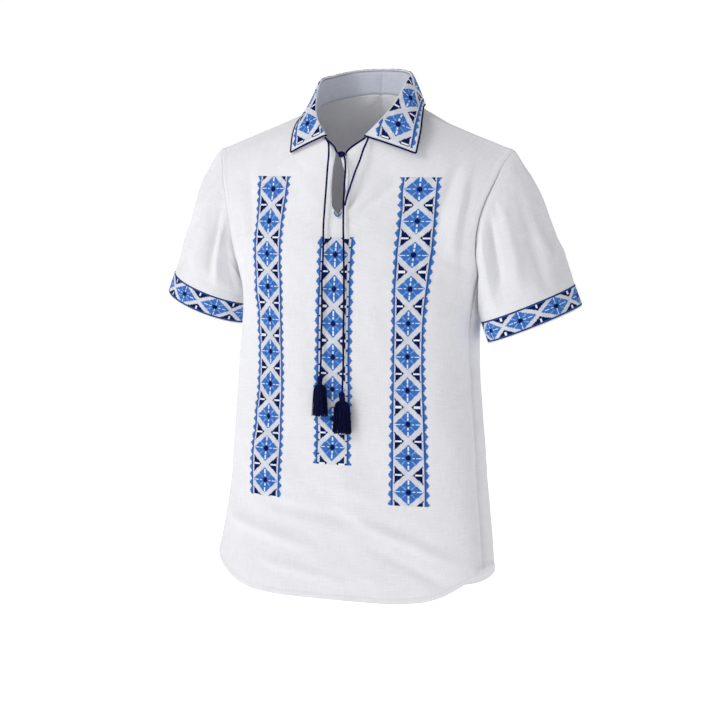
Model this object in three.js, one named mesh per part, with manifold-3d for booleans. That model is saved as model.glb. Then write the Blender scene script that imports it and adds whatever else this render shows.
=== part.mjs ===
// Folk tunic shirt, worn: a hollow linen shell with a turned-down collar, short sleeves,
// embroidered bands, a neck slit and tasselled neck cords.
// Millimetres. +X is the wearer's left, -Y the front, +Z up. The origin lies midway between
// the two high points of the shoulders, where the wearer's shoulders carry the shirt.
import * as THREE from 'three';
import Module from 'manifold-3d';
import { mergeVertices } from 'three/addons/utils/BufferGeometryUtils.js';

// ---------------------------------------------------------------- driving sizes
const LINEN = 1.4;              // wall of one layer of linen
const COLLAR_CLOTH = 1.8;       // two layers and their interlining
const SEAM_GAP = 0.3;           // clearance between sewn neighbours
const STITCH_HEIGHT = 0.8;      // relief of the embroidery
const SECTION_POWER = { front: 2.3, back: 2.9 };  // 2 is an ellipse, more is squarer

const STRIP_INNER = 88;         // side strips, distance of their inner edge from the middle
const STRIP_TOP = -103;
const STRIP_BOTTOM = -577;
const CENTRE_STRIP_HALF = 31;
const CENTRE_STRIP_TOP = -190;
const CENTRE_STRIP_BOTTOM = -522;

const SLEEVE_TILT = 21;         // degrees from the vertical
// The sleeve mouths: centre, half sizes, and how much lower each hangs at its front.
const SLEEVE_MOUTHS = {
  left: { x: 269, y: 13.6, z: -316, across: 73.5, deep: 62, drop: 9.5 },
  right: { x: 268, y: 14, z: -305, across: 70, deep: 62, drop: 2.5 },
};
const BAND_WIDTH = 31;
const BAND_HEM = 2;             // plain cloth below the band
const CAP_SLOPE = 46;           // degrees below level at which the cap leaves the shoulder
const UNDERARM_SPREAD = { left: 0.34, right: 0.6 };
const ARM_ROUND = 0.25;         // how far the front and the back of the sleeve swell

const CORD_DIAMETER = 2.5;
const PIPING_DIAMETER = 2.4;
const CORD_SIDES = 8;
const CORD_STEPS = { long: 50, branch: 18 };
const PIPING_SIDES = 6;
const TASSEL_SIDES = 14;

// ---------------------------------------------------------------- the cut, as sections
// The inner end of each section of a front half: neck edge, slit edge, then centre front.
const FRONT_MIDDLE = [
  { x: 70, y: 0, z: 0 },
  { x: 65, y: -25, z: -12 },
  { x: 53, y: -47, z: -28 },
  { x: 34, y: -63, z: -47 },
  { x: 6.5, y: -72, z: -70 },
  { x: 11, y: -76, z: -98 },
  { x: 8.5, y: -82, z: -134 },
  { x: 0, y: -87.5, z: -159 },
  { x: 0, y: -96, z: -205 },
  { x: 0, y: -101, z: -262 },
  { x: 0, y: -104, z: -330 },
  { x: 0, y: -106, z: -405 },
  { x: 0, y: -108, z: -482 },
  { x: 0, y: -110, z: -560 },
  { x: 0, y: -112, z: -640 },
  { x: 0, y: -114, z: -722 },
];

// The slit's edge on the wearer's right stands further from the middle.
const SLIT_RIGHT = {
  4: { x: 12.5, y: -71.5, z: -65 },
  5: { x: 15.5, y: -75, z: -94 },
  6: { x: 13.5, y: -82, z: -134 },
};
const FRONT_MIDDLE_RIGHT = FRONT_MIDDLE.map((row, k) => SLIT_RIGHT[k] ?? row);

// The inner end of each section of a back half: back neck, then centre back.
const BACK_MIDDLE = [
  { x: 70, y: 0, z: 0 },
  { x: 63, y: 32, z: 9 },
  { x: 38, y: 56, z: 15 },
  { x: 0, y: 66, z: 17 },
  { x: 0, y: 80, z: -12 },
  { x: 0, y: 91, z: -48 },
  { x: 0, y: 98, z: -92 },
  { x: 0, y: 101, z: -145 },
  { x: 0, y: 100, z: -205 },
  { x: 0, y: 95, z: -268 },
  { x: 0, y: 88, z: -335 },
  { x: 0, y: 82, z: -408 },
  { x: 0, y: 79, z: -484 },
  { x: 0, y: 79, z: -562 },
  { x: 0, y: 80, z: -642 },
  { x: 0, y: 81, z: -726 },
];

// The armhole from the shoulder tip to the underarm, front and back.
const ARMHOLE_FRONT = [
  { x: 240, y: 0, z: -64 },
  { x: 230, y: -16, z: -84 },
  { x: 222, y: -28, z: -108 },
  { x: 212, y: -37, z: -134 },
  { x: 204, y: -43, z: -161 },
  { x: 199, y: -43, z: -189 },
  { x: 196.5, y: -36, z: -217 },
  { x: 196, y: -20, z: -242 },
];
const ARMHOLE_BACK = [
  { x: 240, y: 0, z: -64 },
  { x: 235, y: 15, z: -84 },
  { x: 227, y: 29, z: -108 },
  { x: 218, y: 36, z: -134 },
  { x: 211, y: 37, z: -161 },
  { x: 205, y: 32, z: -189 },
  { x: 200, y: 11, z: -217 },
  { x: 196, y: -20, z: -242 },
];

// The side seam from just below the underarm to the hem's side notch.
const SIDE_SEAM = [
  { x: 188, y: -20, z: -276 },
  { x: 184, y: -23, z: -318 },
  { x: 185, y: -24, z: -370 },
  { x: 191, y: -26, z: -430 },
  { x: 199, y: -29, z: -494 },
  { x: 206, y: -31, z: -556 },
  { x: 214, y: -32, z: -614 },
  { x: 221, y: -33, z: -668 },
];
const SIDE_OUT_RIGHT = [-1, 2, 6, 5, 2.5, 2, 6, 14];  // the right side seam lies further out

// How each section runs between its ends. round: 0 is straight, 1 is the full curve of the
// body. late: 1 lets the height change evenly, more keeps it for the outer end. strip: how far
// from the middle the side strip's outer edge lies.
const SECTION_SHAPE = [
  { round: 0.0, late: 1, strip: 150 },
  { round: 0.12, late: 1, strip: 150 },
  { round: 0.3, late: 1, strip: 150 },
  { round: 0.5, late: 1, strip: 150 },
  { round: 0.68, late: 1, strip: 150 },
  { round: 0.8, late: 1.1, strip: 150 },
  { round: 0.9, late: 1.2, strip: 149 },
  { round: 1.0, late: 1.3, strip: 147 },
  { round: 1.0, late: 1.4, strip: 143 },
  { round: 1.0, late: 1.5, strip: 139 },
  { round: 1.0, late: 1.6, strip: 138 },
  { round: 1.0, late: 1.8, strip: 141 },
  { round: 1.0, late: 2.2, strip: 146 },
  { round: 1.0, late: 3.0, strip: 150 },
  { round: 1.0, late: 4.0, strip: 151 },
  { round: 1.0, late: 5.0, strip: 151 },
];
const SEAM_TWIST = 33;          // the hem is turned a little: left side seam forward, right back
const BACK_ROUND = 0.15;        // how softly the two back halves meet below the shoulders
const UNDERARM_ROW = 7;
const SLIT_TOP_ROW = 4;
const COLLAR_END_ROW = 3;

// The collar's roll line and outer edge, from the front corner round to the centre back.
const COLLAR_ROLL = [
  { x: 34, y: -66, z: -43 },
  { x: 56, y: -53, z: -18 },
  { x: 69, y: -31, z: 8 },
  { x: 73, y: -3, z: 37 },
  { x: 63, y: 34, z: 46 },
  { x: 38, y: 60, z: 53 },
  { x: 0, y: 70, z: 55 },
];
const COLLAR_SWAY = 6;          // the worn leaf sits this far to the left at its points
const COLLAR_EDGE = [
  { x: 104, y: -59, z: -67 },
  { x: 105, y: -44, z: -38 },
  { x: 101, y: -26, z: -17 },
  { x: 90, y: 8, z: 0 },
  { x: 77, y: 44, z: 5 },
  { x: 47, y: 74, z: 5 },
  { x: 0, y: 87, z: 5 },
];

const FOLD_FADE = 0.3;          // share of a fold over which it dies out, at each end
const FOLD_LIMIT = 0.88;        // folds flatten from here to a panel's side edge

// The largest folds: ridges (height above 0) and troughs that run between two places on a
// panel, given by their distance from the centre and their level.
const FRONT_FOLDS = [
  { x0: 16, z0: -150, x1: 78, z1: -100, width: 13, height: 2.6 },
  { x0: 172, z0: -92, x1: 148, z1: -190, width: 13, height: -4.5 },
  { x0: 186, z0: -112, x1: 176, z1: -205, width: 10, height: 3 },
  { x0: 193, z0: -150, x1: 182, z1: -300, width: 9, height: -4 },
  { x0: -176, z0: -96, x1: -160, z1: -190, width: 14, height: -4 },
  { x0: -188, z0: -170, x1: -180, z1: -330, width: 12, height: -4.5 },
  { x0: -170, z0: -640, x1: -40, z1: -662, width: 15, height: 3 },
  { x0: -70, z0: -588, x1: 60, z1: -620, width: 18, height: -3 },
  { x0: 40, z0: -628, x1: 168, z1: -668, width: 16, height: 3 },
];
const BACK_FOLDS = [
  { x0: 150, z0: -120, x1: 168, z1: -260, width: 15, height: -4.5 },
  { x0: -152, z0: -128, x1: -170, z1: -250, width: 14, height: -4 },
  { x0: 55, z0: -200, x1: 64, z1: -520, width: 20, height: -4 },
  { x0: -62, z0: -230, x1: -58, z1: -560, width: 22, height: -4 },
  { x0: 0, z0: -330, x1: 6, z1: -690, width: 24, height: 3.5 },
  { x0: -140, z0: -610, x1: -30, z1: -650, width: 16, height: 3 },
];

// Sleeve folds. turn: place round the sleeve, 0 at the shoulder tip, 0.25 in front, 0.5 under
// the arm. start and end: distance along the sleeve, 0 at the armhole, 1 at the mouth.
const SLEEVE_FOLDS = [
  { turn0: 0.16, turn1: 0.2, start: 0.1, end: 0.9, width: 0.025, height: 4 },
  { turn0: 0.22, turn1: 0.27, start: 0.08, end: 0.8, width: 0.025, height: -4.5 },
  { turn0: 0.3, turn1: 0.33, start: 0.15, end: 0.95, width: 0.028, height: 4 },
  { turn0: 0.1, turn1: 0.12, start: 0.3, end: 1, width: 0.025, height: -2.5 },
  { turn0: 0.64, turn1: 0.66, start: 0.1, end: 0.9, width: 0.03, height: 4 },
  { turn0: 0.74, turn1: 0.73, start: 0.1, end: 0.85, width: 0.028, height: -4.5 },
  { turn0: 0.84, turn1: 0.83, start: 0.15, end: 1, width: 0.03, height: 3 },
];

// Neck cords: free routes, chosen by eye where they hang over the chest.
const CORD_RIGHT_ROUTE = [
  [-26.8, -69.4, -49.6], [-22, -73.6, -55.5], [-19.7, -78, -70], [-19.6, -81.5, -86],
  [-19.9, -84.2, -105], [-20.2, -87.2, -126], [-20.5, -90.6, -149], [-20.3, -94.6, -172],
  [-18.4, -99.6, -197], [-17.8, -101.8, -222], [-18.4, -104, -248], [-17.6, -106, -278],
  [-16.9, -107.6, -308], [-17.2, -109.4, -338], [-16.3, -112, -366], [-16, -115.5, -391],
];
const CORD_LEFT_ROUTE = [
  [5.2, -77.4, -72.9], [8.3, -80.9, -82], [9.7, -83.4, -95], [9.3, -85.2, -110],
  [9.2, -88, -130], [10.3, -91.4, -153], [12.4, -96.2, -178], [14.9, -100.4, -203],
  [16.3, -102.6, -230], [17.3, -104.4, -258], [18, -106.2, -287], [18.1, -107.8, -317],
  [18.5, -109.3, -347], [19.3, -111.2, -376], [20, -114.8, -398], [20.2, -117, -413],
];
const CORD_BRANCH_ROUTE = [
  [39.5, -68.6, -46.4], [38, -71.4, -53], [34.7, -74, -62], [32.7, -76.2, -70],
  [30.9, -77.8, -77], [28.3, -79.6, -85], [25.2, -81.2, -93.5], [22.9, -82.4, -101],
  [20.7, -83.4, -108], [18.4, -84.8, -115.5], [16.6, -86.4, -123], [15, -88, -129.5],
  [13.8, -89.6, -136], [12.7, -91.4, -144],
];
const NECK_KNOT = { y: -74.9, z: -70.2, across: 6.6, deep: 4.4, high: 4 };
const TASSELS = [               // place of the top, then sizes
  { name: 'tassel_right', x: -16, y: -116, z: -391.5, length: 60, width: 25, depth: 11 },
  { name: 'tassel_left', x: 20.2, y: -117.5, z: -413.5, length: 62, width: 31, depth: 12 },
];

// Steps of the faceted cloth.
const ARMHOLE_STEPS = 14;
const LOWER_STEPS = 10;
const SIDE_COLUMNS = [0.3, 0.55, 0.76, 0.91, 1];
const INNER_COLUMNS = [0, 0.17, CENTRE_STRIP_HALF / STRIP_INNER, 0.58, 0.79, 1];
const STRIP_COLUMNS = 3;
const SLEEVE_STEPS = [0, 0.16, 0.34, 0.54, 0.76];

// ---------------------------------------------------------------- small helpers
const { lerp, clamp, smoothstep, degToRad } = THREE.MathUtils;
const vector = (p) => new THREE.Vector3(p.x, p.y, p.z);

// Reads a table of sections as one smooth run; place counts its rows from 0.
function readTable(table, place) {
  const last = table.length - 1;
  const i = Math.min(Math.floor(clamp(place, 0, last)), last - 1);
  const t = clamp(place, 0, last) - i;
  const near = [i - 1, i, i + 1, i + 2].map((k) => table[clamp(k, 0, last)]);
  const out = {};
  for (const key of Object.keys(table[0])) {
    const [a, b, c, d] = near.map((row) => row[key]);
    const slope = (c - a) * t;
    const bend = (2 * a - 5 * b + 4 * c - d) * t * t;
    const twist = (3 * b - a - 3 * c + d) * t * t * t;
    out[key] = 0.5 * (2 * b + slope + bend + twist);
  }
  return out;
}

// Height of the folds at a point: each is a bell across its line, fading out at both ends.
function panelRelief(folds, x, z) {
  let height = 0;
  for (const fold of folds) {
    const line = new THREE.Vector2(fold.x1 - fold.x0, fold.z1 - fold.z0);
    const reach = new THREE.Vector2(x - fold.x0, z - fold.z0);
    const along = reach.dot(line) / line.lengthSq();
    const across = Math.abs(reach.cross(line)) / line.length();
    const rise = smoothstep(along, -FOLD_FADE, FOLD_FADE);
    const fall = smoothstep(along, 1 - FOLD_FADE, 1 + FOLD_FADE);
    height += fold.height * rise * (1 - fall) * Math.exp(-((across / fold.width) ** 2));
  }
  return height;
}

// ---------------------------------------------------------------- body panels
// The x places of a panel half's columns on one section: even over the middle, then on the
// edges of the embroidered strip, then closing up towards the side.
function columnPlaces(middleX, sideX, stripOuter) {
  const places = INNER_COLUMNS.map((f) => lerp(middleX, STRIP_INNER, f));
  for (let k = 1; k <= STRIP_COLUMNS; k += 1) {
    places.push(lerp(STRIP_INNER, stripOuter, k / STRIP_COLUMNS));
  }
  SIDE_COLUMNS.forEach((f) => places.push(lerp(stripOuter, sideX, f)));
  return places;
}

// The outer end of a section: on the armhole, then on the side seam that both panels share.
function outerEnd(armholeTable, place, side) {
  if (place < UNDERARM_ROW) return readTable(armholeTable, place);
  const seam = SIDE_SEAM.map((row, k) => (
    side > 0 ? row : { ...row, x: row.x + SIDE_OUT_RIGHT[k] }));
  const end = readTable([armholeTable[UNDERARM_ROW], ...seam], place - UNDERARM_ROW);
  end.y -= side * SEAM_TWIST * ((place - UNDERARM_ROW) / SIDE_SEAM.length) ** 2;
  return end;
}

// A share that starts level instead of at a slope; `soft` is how far that lasts.
function softened(share, soft) {
  return (Math.hypot(share, soft) - soft) / (Math.hypot(1, soft) - soft);
}

// Points of one half of a panel, rows from the shoulder seam down to the hem.
function panelHalf(middleTable, armholeTable, folds, side) {
  const rows = [];
  for (const place of rowPlaces()) {
    const middle = readTable(middleTable, place);
    const outer = outerEnd(armholeTable, place, side);
    const shape = readTable(SECTION_SHAPE, place);
    const middleX = Math.max(middle.x, 0);
    const isBack = middleTable === BACK_MIDDLE;
    const soft = isBack ? BACK_ROUND * smoothstep(place, 1.5, 3.5) : 0;
    const power = isBack ? SECTION_POWER.back : SECTION_POWER.front;
    rows.push(columnPlaces(middleX, outer.x, shape.strip).map((x) => {
      const q = clamp((x - middleX) / (outer.x - middleX), 0, 1);
      const curve = 1 - (1 - q ** power) ** (1 / power);
      const y = lerp(middle.y, outer.y, lerp(softened(q, soft), curve, shape.round));
      const z = lerp(middle.z, outer.z, q ** shape.late);
      const edge = 1 - smoothstep(q, FOLD_LIMIT, 1);
      const relief = panelRelief(folds, side * x, z) * edge * smoothstep(place, 0, 2);
      const out = new THREE.Vector3(q ** 3, Math.sign(y - outer.y || -1) * (1 - q ** 3), 0);
      return new THREE.Vector3(x, y, z).addScaledVector(out.normalize(), relief)
        .multiply(new THREE.Vector3(side, 1, 1));
    }));
  }
  return rows;
}

// The rows of a panel: even down the armhole, then even down to the hem.
function rowPlaces() {
  const places = [];
  for (let k = 0; k < ARMHOLE_STEPS; k += 1) {
    places.push((UNDERARM_ROW * k) / ARMHOLE_STEPS);
  }
  const last = FRONT_MIDDLE.length - 1;
  for (let k = 0; k <= LOWER_STEPS; k += 1) {
    places.push(lerp(UNDERARM_ROW, last, k / LOWER_STEPS));
  }
  return places;
}

// ---------------------------------------------------------------- cloth walls
// Accumulates points and quads of one side of a cloth, joining equal points.
class Sheet {
  constructor() {
    this.points = [];
    this.index = new Map();
    this.triangles = [];
  }

  add(point) {
    const key = point.toArray().map((value) => Math.round(value * 1000)).join(',');
    if (!this.index.has(key)) {
      this.index.set(key, this.points.length);
      this.points.push(point.clone());
    }
    return this.index.get(key);
  }

  // Rows of points, each row running to the right as seen from outside when read downwards.
  addGrid(rows, closed = false) {
    for (let j = 0; j + 1 < rows.length; j += 1) {
      const count = rows[j].length - (closed ? 0 : 1);
      for (let i = 0; i < count; i += 1) {
        const next = (i + 1) % rows[j].length;
        const corners = [rows[j][i], rows[j + 1][i], rows[j + 1][next], rows[j][next]];
        const [a, b, c, d] = corners.map((p) => this.add(p));
        this.addTriangle(a, b, c);
        this.addTriangle(a, c, d);
      }
    }
  }

  addTriangle(a, b, c) {
    if (a !== b && b !== c && c !== a) this.triangles.push([a, b, c]);
  }

  normals() {
    const sums = this.points.map(() => new THREE.Vector3());
    for (const [a, b, c] of this.triangles) {
      const ab = this.points[b].clone().sub(this.points[a]);
      const ac = this.points[c].clone().sub(this.points[a]);
      const face = ab.cross(ac);
      [a, b, c].forEach((k) => sums[k].add(face));
    }
    return sums.map((sum) => sum.normalize());
  }

  // Directed edges that only one triangle has: the outline of the cloth.
  outline() {
    const edges = new Map();
    for (const [a, b, c] of this.triangles) {
      [[a, b], [b, c], [c, a]].forEach(([p, q]) => edges.set(`${p},${q}`, [p, q]));
    }
    return [...edges.values()].filter(([p, q]) => !edges.has(`${q},${p}`));
  }
}

// A closed wall: the sheet moved out by `outer` and by `inner` along its normals, with its
// outline drawn back by half a seam gap, so that sewn neighbours stay clear of each other.
function clothWall(sheet, outer, inner, { normals = sheet.normals(), drawBack = SEAM_GAP / 2 } = {}) {
  const inwards = sheet.points.map(() => new THREE.Vector3());
  const outline = sheet.outline();
  for (const [p, q] of outline) {
    const along = sheet.points[q].clone().sub(sheet.points[p]).normalize();
    for (const k of [p, q]) {
      inwards[k].add(normals[k].clone().cross(along).normalize());
    }
  }
  const layer = (offset) => sheet.points.map((point, k) => {
    const back = inwards[k].lengthSq() > 0 ? inwards[k].clone().normalize() : inwards[k];
    return point.clone().addScaledVector(normals[k], offset).addScaledVector(back, drawBack);
  });
  const points = [...layer(outer), ...layer(inner)];
  const count = sheet.points.length;
  const triangles = [];
  for (const [a, b, c] of sheet.triangles) {
    triangles.push([a, b, c], [a + count, c + count, b + count]);
  }
  for (const [p, q] of outline) {
    triangles.push([p, p + count, q + count], [p, q + count, q]);
  }
  return solidGeometry(points, triangles);
}

function solidGeometry(points, triangles) {
  const geometry = new THREE.BufferGeometry();
  const flat = points.flatMap((p) => [p.x, p.y, p.z]);
  geometry.setAttribute('position', new THREE.Float32BufferAttribute(flat, 3));
  geometry.setIndex(triangles.flat());
  return geometry;
}

// ---------------------------------------------------------------- sleeves
const TILT = degToRad(SLEEVE_TILT);
const SLEEVE_AXIS = new THREE.Vector3(Math.sin(TILT), 0, -Math.cos(TILT));
const SLEEVE_OUT = new THREE.Vector3(Math.cos(TILT), 0, Math.sin(TILT));
const CAP_ANGLE = degToRad(CAP_SLOPE);
const CAP_OUT = new THREE.Vector3(Math.cos(CAP_ANGLE), 0, -Math.sin(CAP_ANGLE));

// The sleeve mouth, or a ring `back` millimetres above it, at one turn of the ring.
function mouthPoint(turn, back, side) {
  const angle = 2 * Math.PI * turn;
  const mouth = side > 0 ? SLEEVE_MOUTHS.left : SLEEVE_MOUTHS.right;
  const point = vector(mouth).addScaledVector(SLEEVE_AXIS, -back);
  point.addScaledVector(SLEEVE_OUT, mouth.across * Math.cos(angle));
  point.y -= mouth.deep * Math.sin(angle);
  point.z -= mouth.drop * Math.sin(angle);
  return point;
}

function sleeveRelief(turn, along) {
  let height = 0;
  for (const fold of SLEEVE_FOLDS) {
    const t = (along - fold.start) / (fold.end - fold.start);
    const centre = lerp(fold.turn0, fold.turn1, clamp(t, 0, 1));
    const fade = smoothstep(t, 0, 0.35) * (1 - smoothstep(t, 0.7, 1));
    height += fold.height * fade * Math.exp(-(((turn - centre) / fold.width) ** 2));
  }
  return height;
}

// One line of cloth from the armhole to the top of the band: it leaves the shoulder along the
// cap and comes down along the arm.
function sleevePoint(start, turn, along, side) {
  const end = mouthPoint(turn, BAND_WIDTH + BAND_HEM, side);
  const length = end.distanceTo(start);
  const angle = 2 * Math.PI * turn;
  const cap = Math.max(0, Math.cos(angle)) ** 1.5;
  const leave = end.clone().sub(start).normalize().lerp(CAP_OUT, cap);
  leave.y -= ARM_ROUND * Math.sin(angle);
  const spread = side > 0 ? UNDERARM_SPREAD.left : UNDERARM_SPREAD.right;
  leave.x += spread * Math.max(0, -Math.cos(angle));
  const [t2, t3] = [along ** 2, along ** 3];
  const point = start.clone().multiplyScalar(2 * t3 - 3 * t2 + 1)
    .addScaledVector(leave.normalize(), length * (t3 - 2 * t2 + along))
    .addScaledVector(end, 3 * t2 - 2 * t3)
    .addScaledVector(SLEEVE_AXIS, length * (t3 - t2));
  const out = SLEEVE_OUT.clone().multiplyScalar(Math.cos(angle));
  out.y -= Math.sin(angle);
  return point.addScaledVector(out, sleeveRelief(turn, along));
}

// Rings of points from the armhole to the mouth, for the wearer's left; mirrored for the right.
function sleeveRings(frontHalf, backHalf, side) {
  const ends = (rows) => rows.slice(0, ARMHOLE_STEPS + 1).map((row) => row[row.length - 1]);
  const armhole = [...ends(frontHalf), ...ends(backHalf).slice(1, -1).reverse()];
  const turns = armhole.map((point, k) => k / armhole.length);
  const mirror = new THREE.Vector3(side, 1, 1);
  const rings = SLEEVE_STEPS.map((along) => armhole.map((point, k) => {
    if (along === 0) return point.clone();
    const start = point.clone().multiply(mirror);
    return sleevePoint(start, turns[k], along, side).multiply(mirror);
  }));
  for (const back of [BAND_WIDTH + BAND_HEM, BAND_HEM, 0]) {
    rings.push(turns.map((turn) => mouthPoint(turn, back, side).multiply(mirror)));
  }
  return side > 0 ? rings.map((ring) => [...ring].reverse()) : rings;
}

// ---------------------------------------------------------------- collar
const STAND_TOP_DROP = 1.6;     // clearance of the stand below the roll line
const ROLL_SECTION = [          // the leaf where it turns over the stand
  { outward: -1.8, upward: 0.7 },
  { outward: 0.2, upward: 1.8 },
  { outward: 2.8, upward: 0.3 },
];
const FALL_SECTION = [          // then down to the edge: share of the way, share of the crown
  { down: 0.36, crown: 1 },
  { down: 0.7, crown: 0.7 },
  { down: 1, crown: 0 },
];
const FALL_CROWN = 2.2;

// Sections from a front corner to the centre back. Each knows its place on the neck seam, the
// roll line and the outer edge.
function collarHalf(frontHalf, backHalf, side) {
  const stepsPerRow = ARMHOLE_STEPS / UNDERARM_ROW;
  const last = COLLAR_END_ROW * stepsPerRow;
  const necks = [
    ...frontHalf.slice(0, last + 1).reverse(),
    ...backHalf.slice(1, last + 1),
  ].map((row) => row[0]);
  const mirror = new THREE.Vector3(side, 1, 1);
  return necks.map((neck, k) => {
    const place = k / stepsPerRow;
    const sway = COLLAR_SWAY * (1 - place / (COLLAR_EDGE.length - 1));
    return {
      neck: neck.clone(),
      roll: vector(readTable(COLLAR_ROLL, place)).multiply(mirror),
      edge: vector(readTable(COLLAR_EDGE, place)).multiply(mirror)
        .add(new THREE.Vector3(sway, 0, 0)),
    };
  });
}

// The upright inner band that stands on the neck seam.
function standRows(sections) {
  const rise = ({ neck, roll }) => roll.clone().sub(neck).normalize();
  return [
    sections.map((s) => s.roll.clone().addScaledVector(rise(s), -STAND_TOP_DROP)),
    sections.map((s) => s.roll.clone().lerp(s.neck, 0.55)),
    sections.map((s) => s.neck.clone().addScaledVector(rise(s), SEAM_GAP)),
  ];
}

// The leaf: over the top of the stand, then down to the outer edge with a slight crown.
function leafRows(sections) {
  const columns = sections.map(({ neck, roll, edge }) => {
    const up = roll.clone().sub(neck).normalize();
    const out = edge.clone().sub(roll);
    out.addScaledVector(up, -out.dot(up)).normalize();
    const swell = out.clone().multiplyScalar(FALL_CROWN).add(up);
    const turned = ROLL_SECTION.map(({ outward, upward }) => (
      roll.clone().addScaledVector(out, outward).addScaledVector(up, upward)));
    const fallen = FALL_SECTION.map(({ down, crown }) => (
      roll.clone().lerp(edge, down).addScaledVector(swell, crown)));
    return [...turned, ...fallen];
  });
  return columns[0].map((unused, row) => columns.map((column) => column[row]));
}

// ---------------------------------------------------------------- piping and cords
// A round tube through the given points, closed at both ends.
function tubeThrough(points, radius, sides) {
  const rings = [];
  let across = new THREE.Vector3(0, 0, 1);
  points.forEach((point, k) => {
    const before = points[Math.max(k - 1, 0)];
    const after = points[Math.min(k + 1, points.length - 1)];
    const along = after.clone().sub(before).normalize();
    across = across.clone().addScaledVector(along, -across.dot(along)).normalize();
    const third = along.clone().cross(across);
    rings.push(Array.from({ length: sides }, (unused, n) => {
      const angle = (2 * Math.PI * n) / sides;
      return point.clone().addScaledVector(across, radius * Math.cos(angle))
        .addScaledVector(third, radius * Math.sin(angle));
    }));
  });
  const sheet = new Sheet();
  sheet.addGrid(rings.map((ring) => [...ring].reverse()), true);
  const ends = [[rings[0], points[0], 1], [rings.at(-1), points.at(-1), -1]];
  for (const [ring, centre, turn] of ends) {
    const hub = sheet.add(centre);
    ring.forEach((point, n) => {
      const pair = [sheet.add(point), sheet.add(ring[(n + 1) % sides])];
      if (turn < 0) pair.reverse();
      sheet.addTriangle(hub, pair[1], pair[0]);
    });
  }
  return outwardFacing(solidGeometry(sheet.points, sheet.triangles));
}

// The leaf's front edges and outer edge as one run of points, moved out by `gap`.
function leafOutline(rows, gap) {
  const lastRow = rows.length - 1;
  const lastColumn = rows[0].length - 1;
  const direction = (from, to) => to.clone().sub(from).normalize();
  const frontEdge = (column, inner) => [2, 3, 4].map((row) => {
    const away = direction(rows[row][inner], rows[row][column]);
    return rows[row][column].clone().addScaledVector(away, gap);
  });
  const tip = (column, inner) => {
    const point = rows[lastRow][column];
    const down = direction(rows[lastRow - 1][column], point);
    const away = direction(rows[lastRow][inner], point);
    const corner = down.clone().add(away).normalize();
    return [away, corner, down].map((way) => point.clone().addScaledVector(way, gap * 1.1));
  };
  const outerEdge = rows[lastRow].slice(1, -1).map((point, k) => {
    const down = direction(rows[lastRow - 1][k + 1], point);
    return point.clone().addScaledVector(down, gap);
  });
  return [
    ...frontEdge(0, 1), ...tip(0, 1), ...outerEdge,
    ...tip(lastColumn, lastColumn - 1).reverse(),
    ...frontEdge(lastColumn, lastColumn - 1).reverse(),
  ];
}

// The piping's way clear of the neck edge, and where its ends pass the leaf and the knot.
const NECK_PIPING_CLEAR = { x: -1.1, y: -0.6, z: 1.6 };
const NECK_PIPING_START = { x: -0.9, y: -0.4, z: -1.4 };
const NECK_PIPING_END = { x: 0.1, y: 0, z: 0.9 };
const TO_KNOT_RIGHT = [{ x: -9.4, y: -72.9, z: -66.2 }, { x: -7.1, y: -73.7, z: -68.7 }];

const mirroredSum = (point, move, side) => (
  point.clone().add(new THREE.Vector3(side * move.x, move.y, move.z)));

// The piped stretch of neck edge between a collar corner and the knot.
function neckEdgeRun(frontHalf, side) {
  const stepsPerRow = ARMHOLE_STEPS / UNDERARM_ROW;
  const first = COLLAR_END_ROW * stepsPerRow;
  const last = SLIT_TOP_ROW * stepsPerRow;
  const run = [];
  for (let k = first; k <= last; k += 0.5) {
    const point = frontHalf[Math.floor(k)][0].clone();
    point.lerp(frontHalf[Math.ceil(k)][0], k % 1);
    run.push(mirroredSum(point, NECK_PIPING_CLEAR, side));
  }
  run[0] = mirroredSum(run[0], NECK_PIPING_START, side);
  if (side < 0) return [...run, ...TO_KNOT_RIGHT.map(vector)];
  run.push(mirroredSum(run.pop(), NECK_PIPING_END, side));
  return run;
}

function hangingCord(route, steps) {
  const curve = new THREE.CatmullRomCurve3(route.map((p) => new THREE.Vector3(...p)));
  const section = new THREE.Shape();
  for (let n = 0; n < CORD_SIDES; n += 1) {
    const angle = (2 * Math.PI * n) / CORD_SIDES;
    const [x, y] = [Math.cos(angle), Math.sin(angle)].map((v) => (v * CORD_DIAMETER) / 2);
    if (n === 0) section.moveTo(x, y);
    else section.lineTo(x, y);
  }
  return new THREE.ExtrudeGeometry(section, { steps, extrudePath: curve, bevelEnabled: false });
}

// A tassel: a bound head above a skirt of threads, flattened against the chest.
function tasselGeometry({ length, width, depth }) {
  const half = width / 2;
  const profile = [
    [0, -length], [half, -length + 1.5], [half * 0.88, -length * 0.72], [half * 0.66, -length * 0.4],
    [half * 0.46, -length * 0.24], [half * 0.36, -length * 0.2], [half * 0.46, -length * 0.14],
    [half * 0.42, -length * 0.05], [half * 0.2, -1], [0, 0],
  ].map(([radius, height]) => new THREE.Vector2(radius, height));
  const geometry = new THREE.LatheGeometry(profile, TASSEL_SIDES);
  geometry.rotateX(Math.PI / 2);
  geometry.scale(1, depth / width, 1);
  return outwardFacing(geometry);
}

// ---------------------------------------------------------------- booleans and clean-up
const wasm = await Module();
wasm.setup();

function joined(geometry) {
  const plain = geometry.clone();
  plain.deleteAttribute('normal');
  plain.deleteAttribute('uv');
  return mergeVertices(plain, 1e-4);
}

function solid(geometry) {
  const plain = joined(geometry);
  return new wasm.Manifold(new wasm.Mesh({
    numProp: 3,
    vertProperties: Float32Array.from(plain.attributes.position.array),
    triVerts: Uint32Array.from(plain.index.array),
  }));
}

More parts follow.
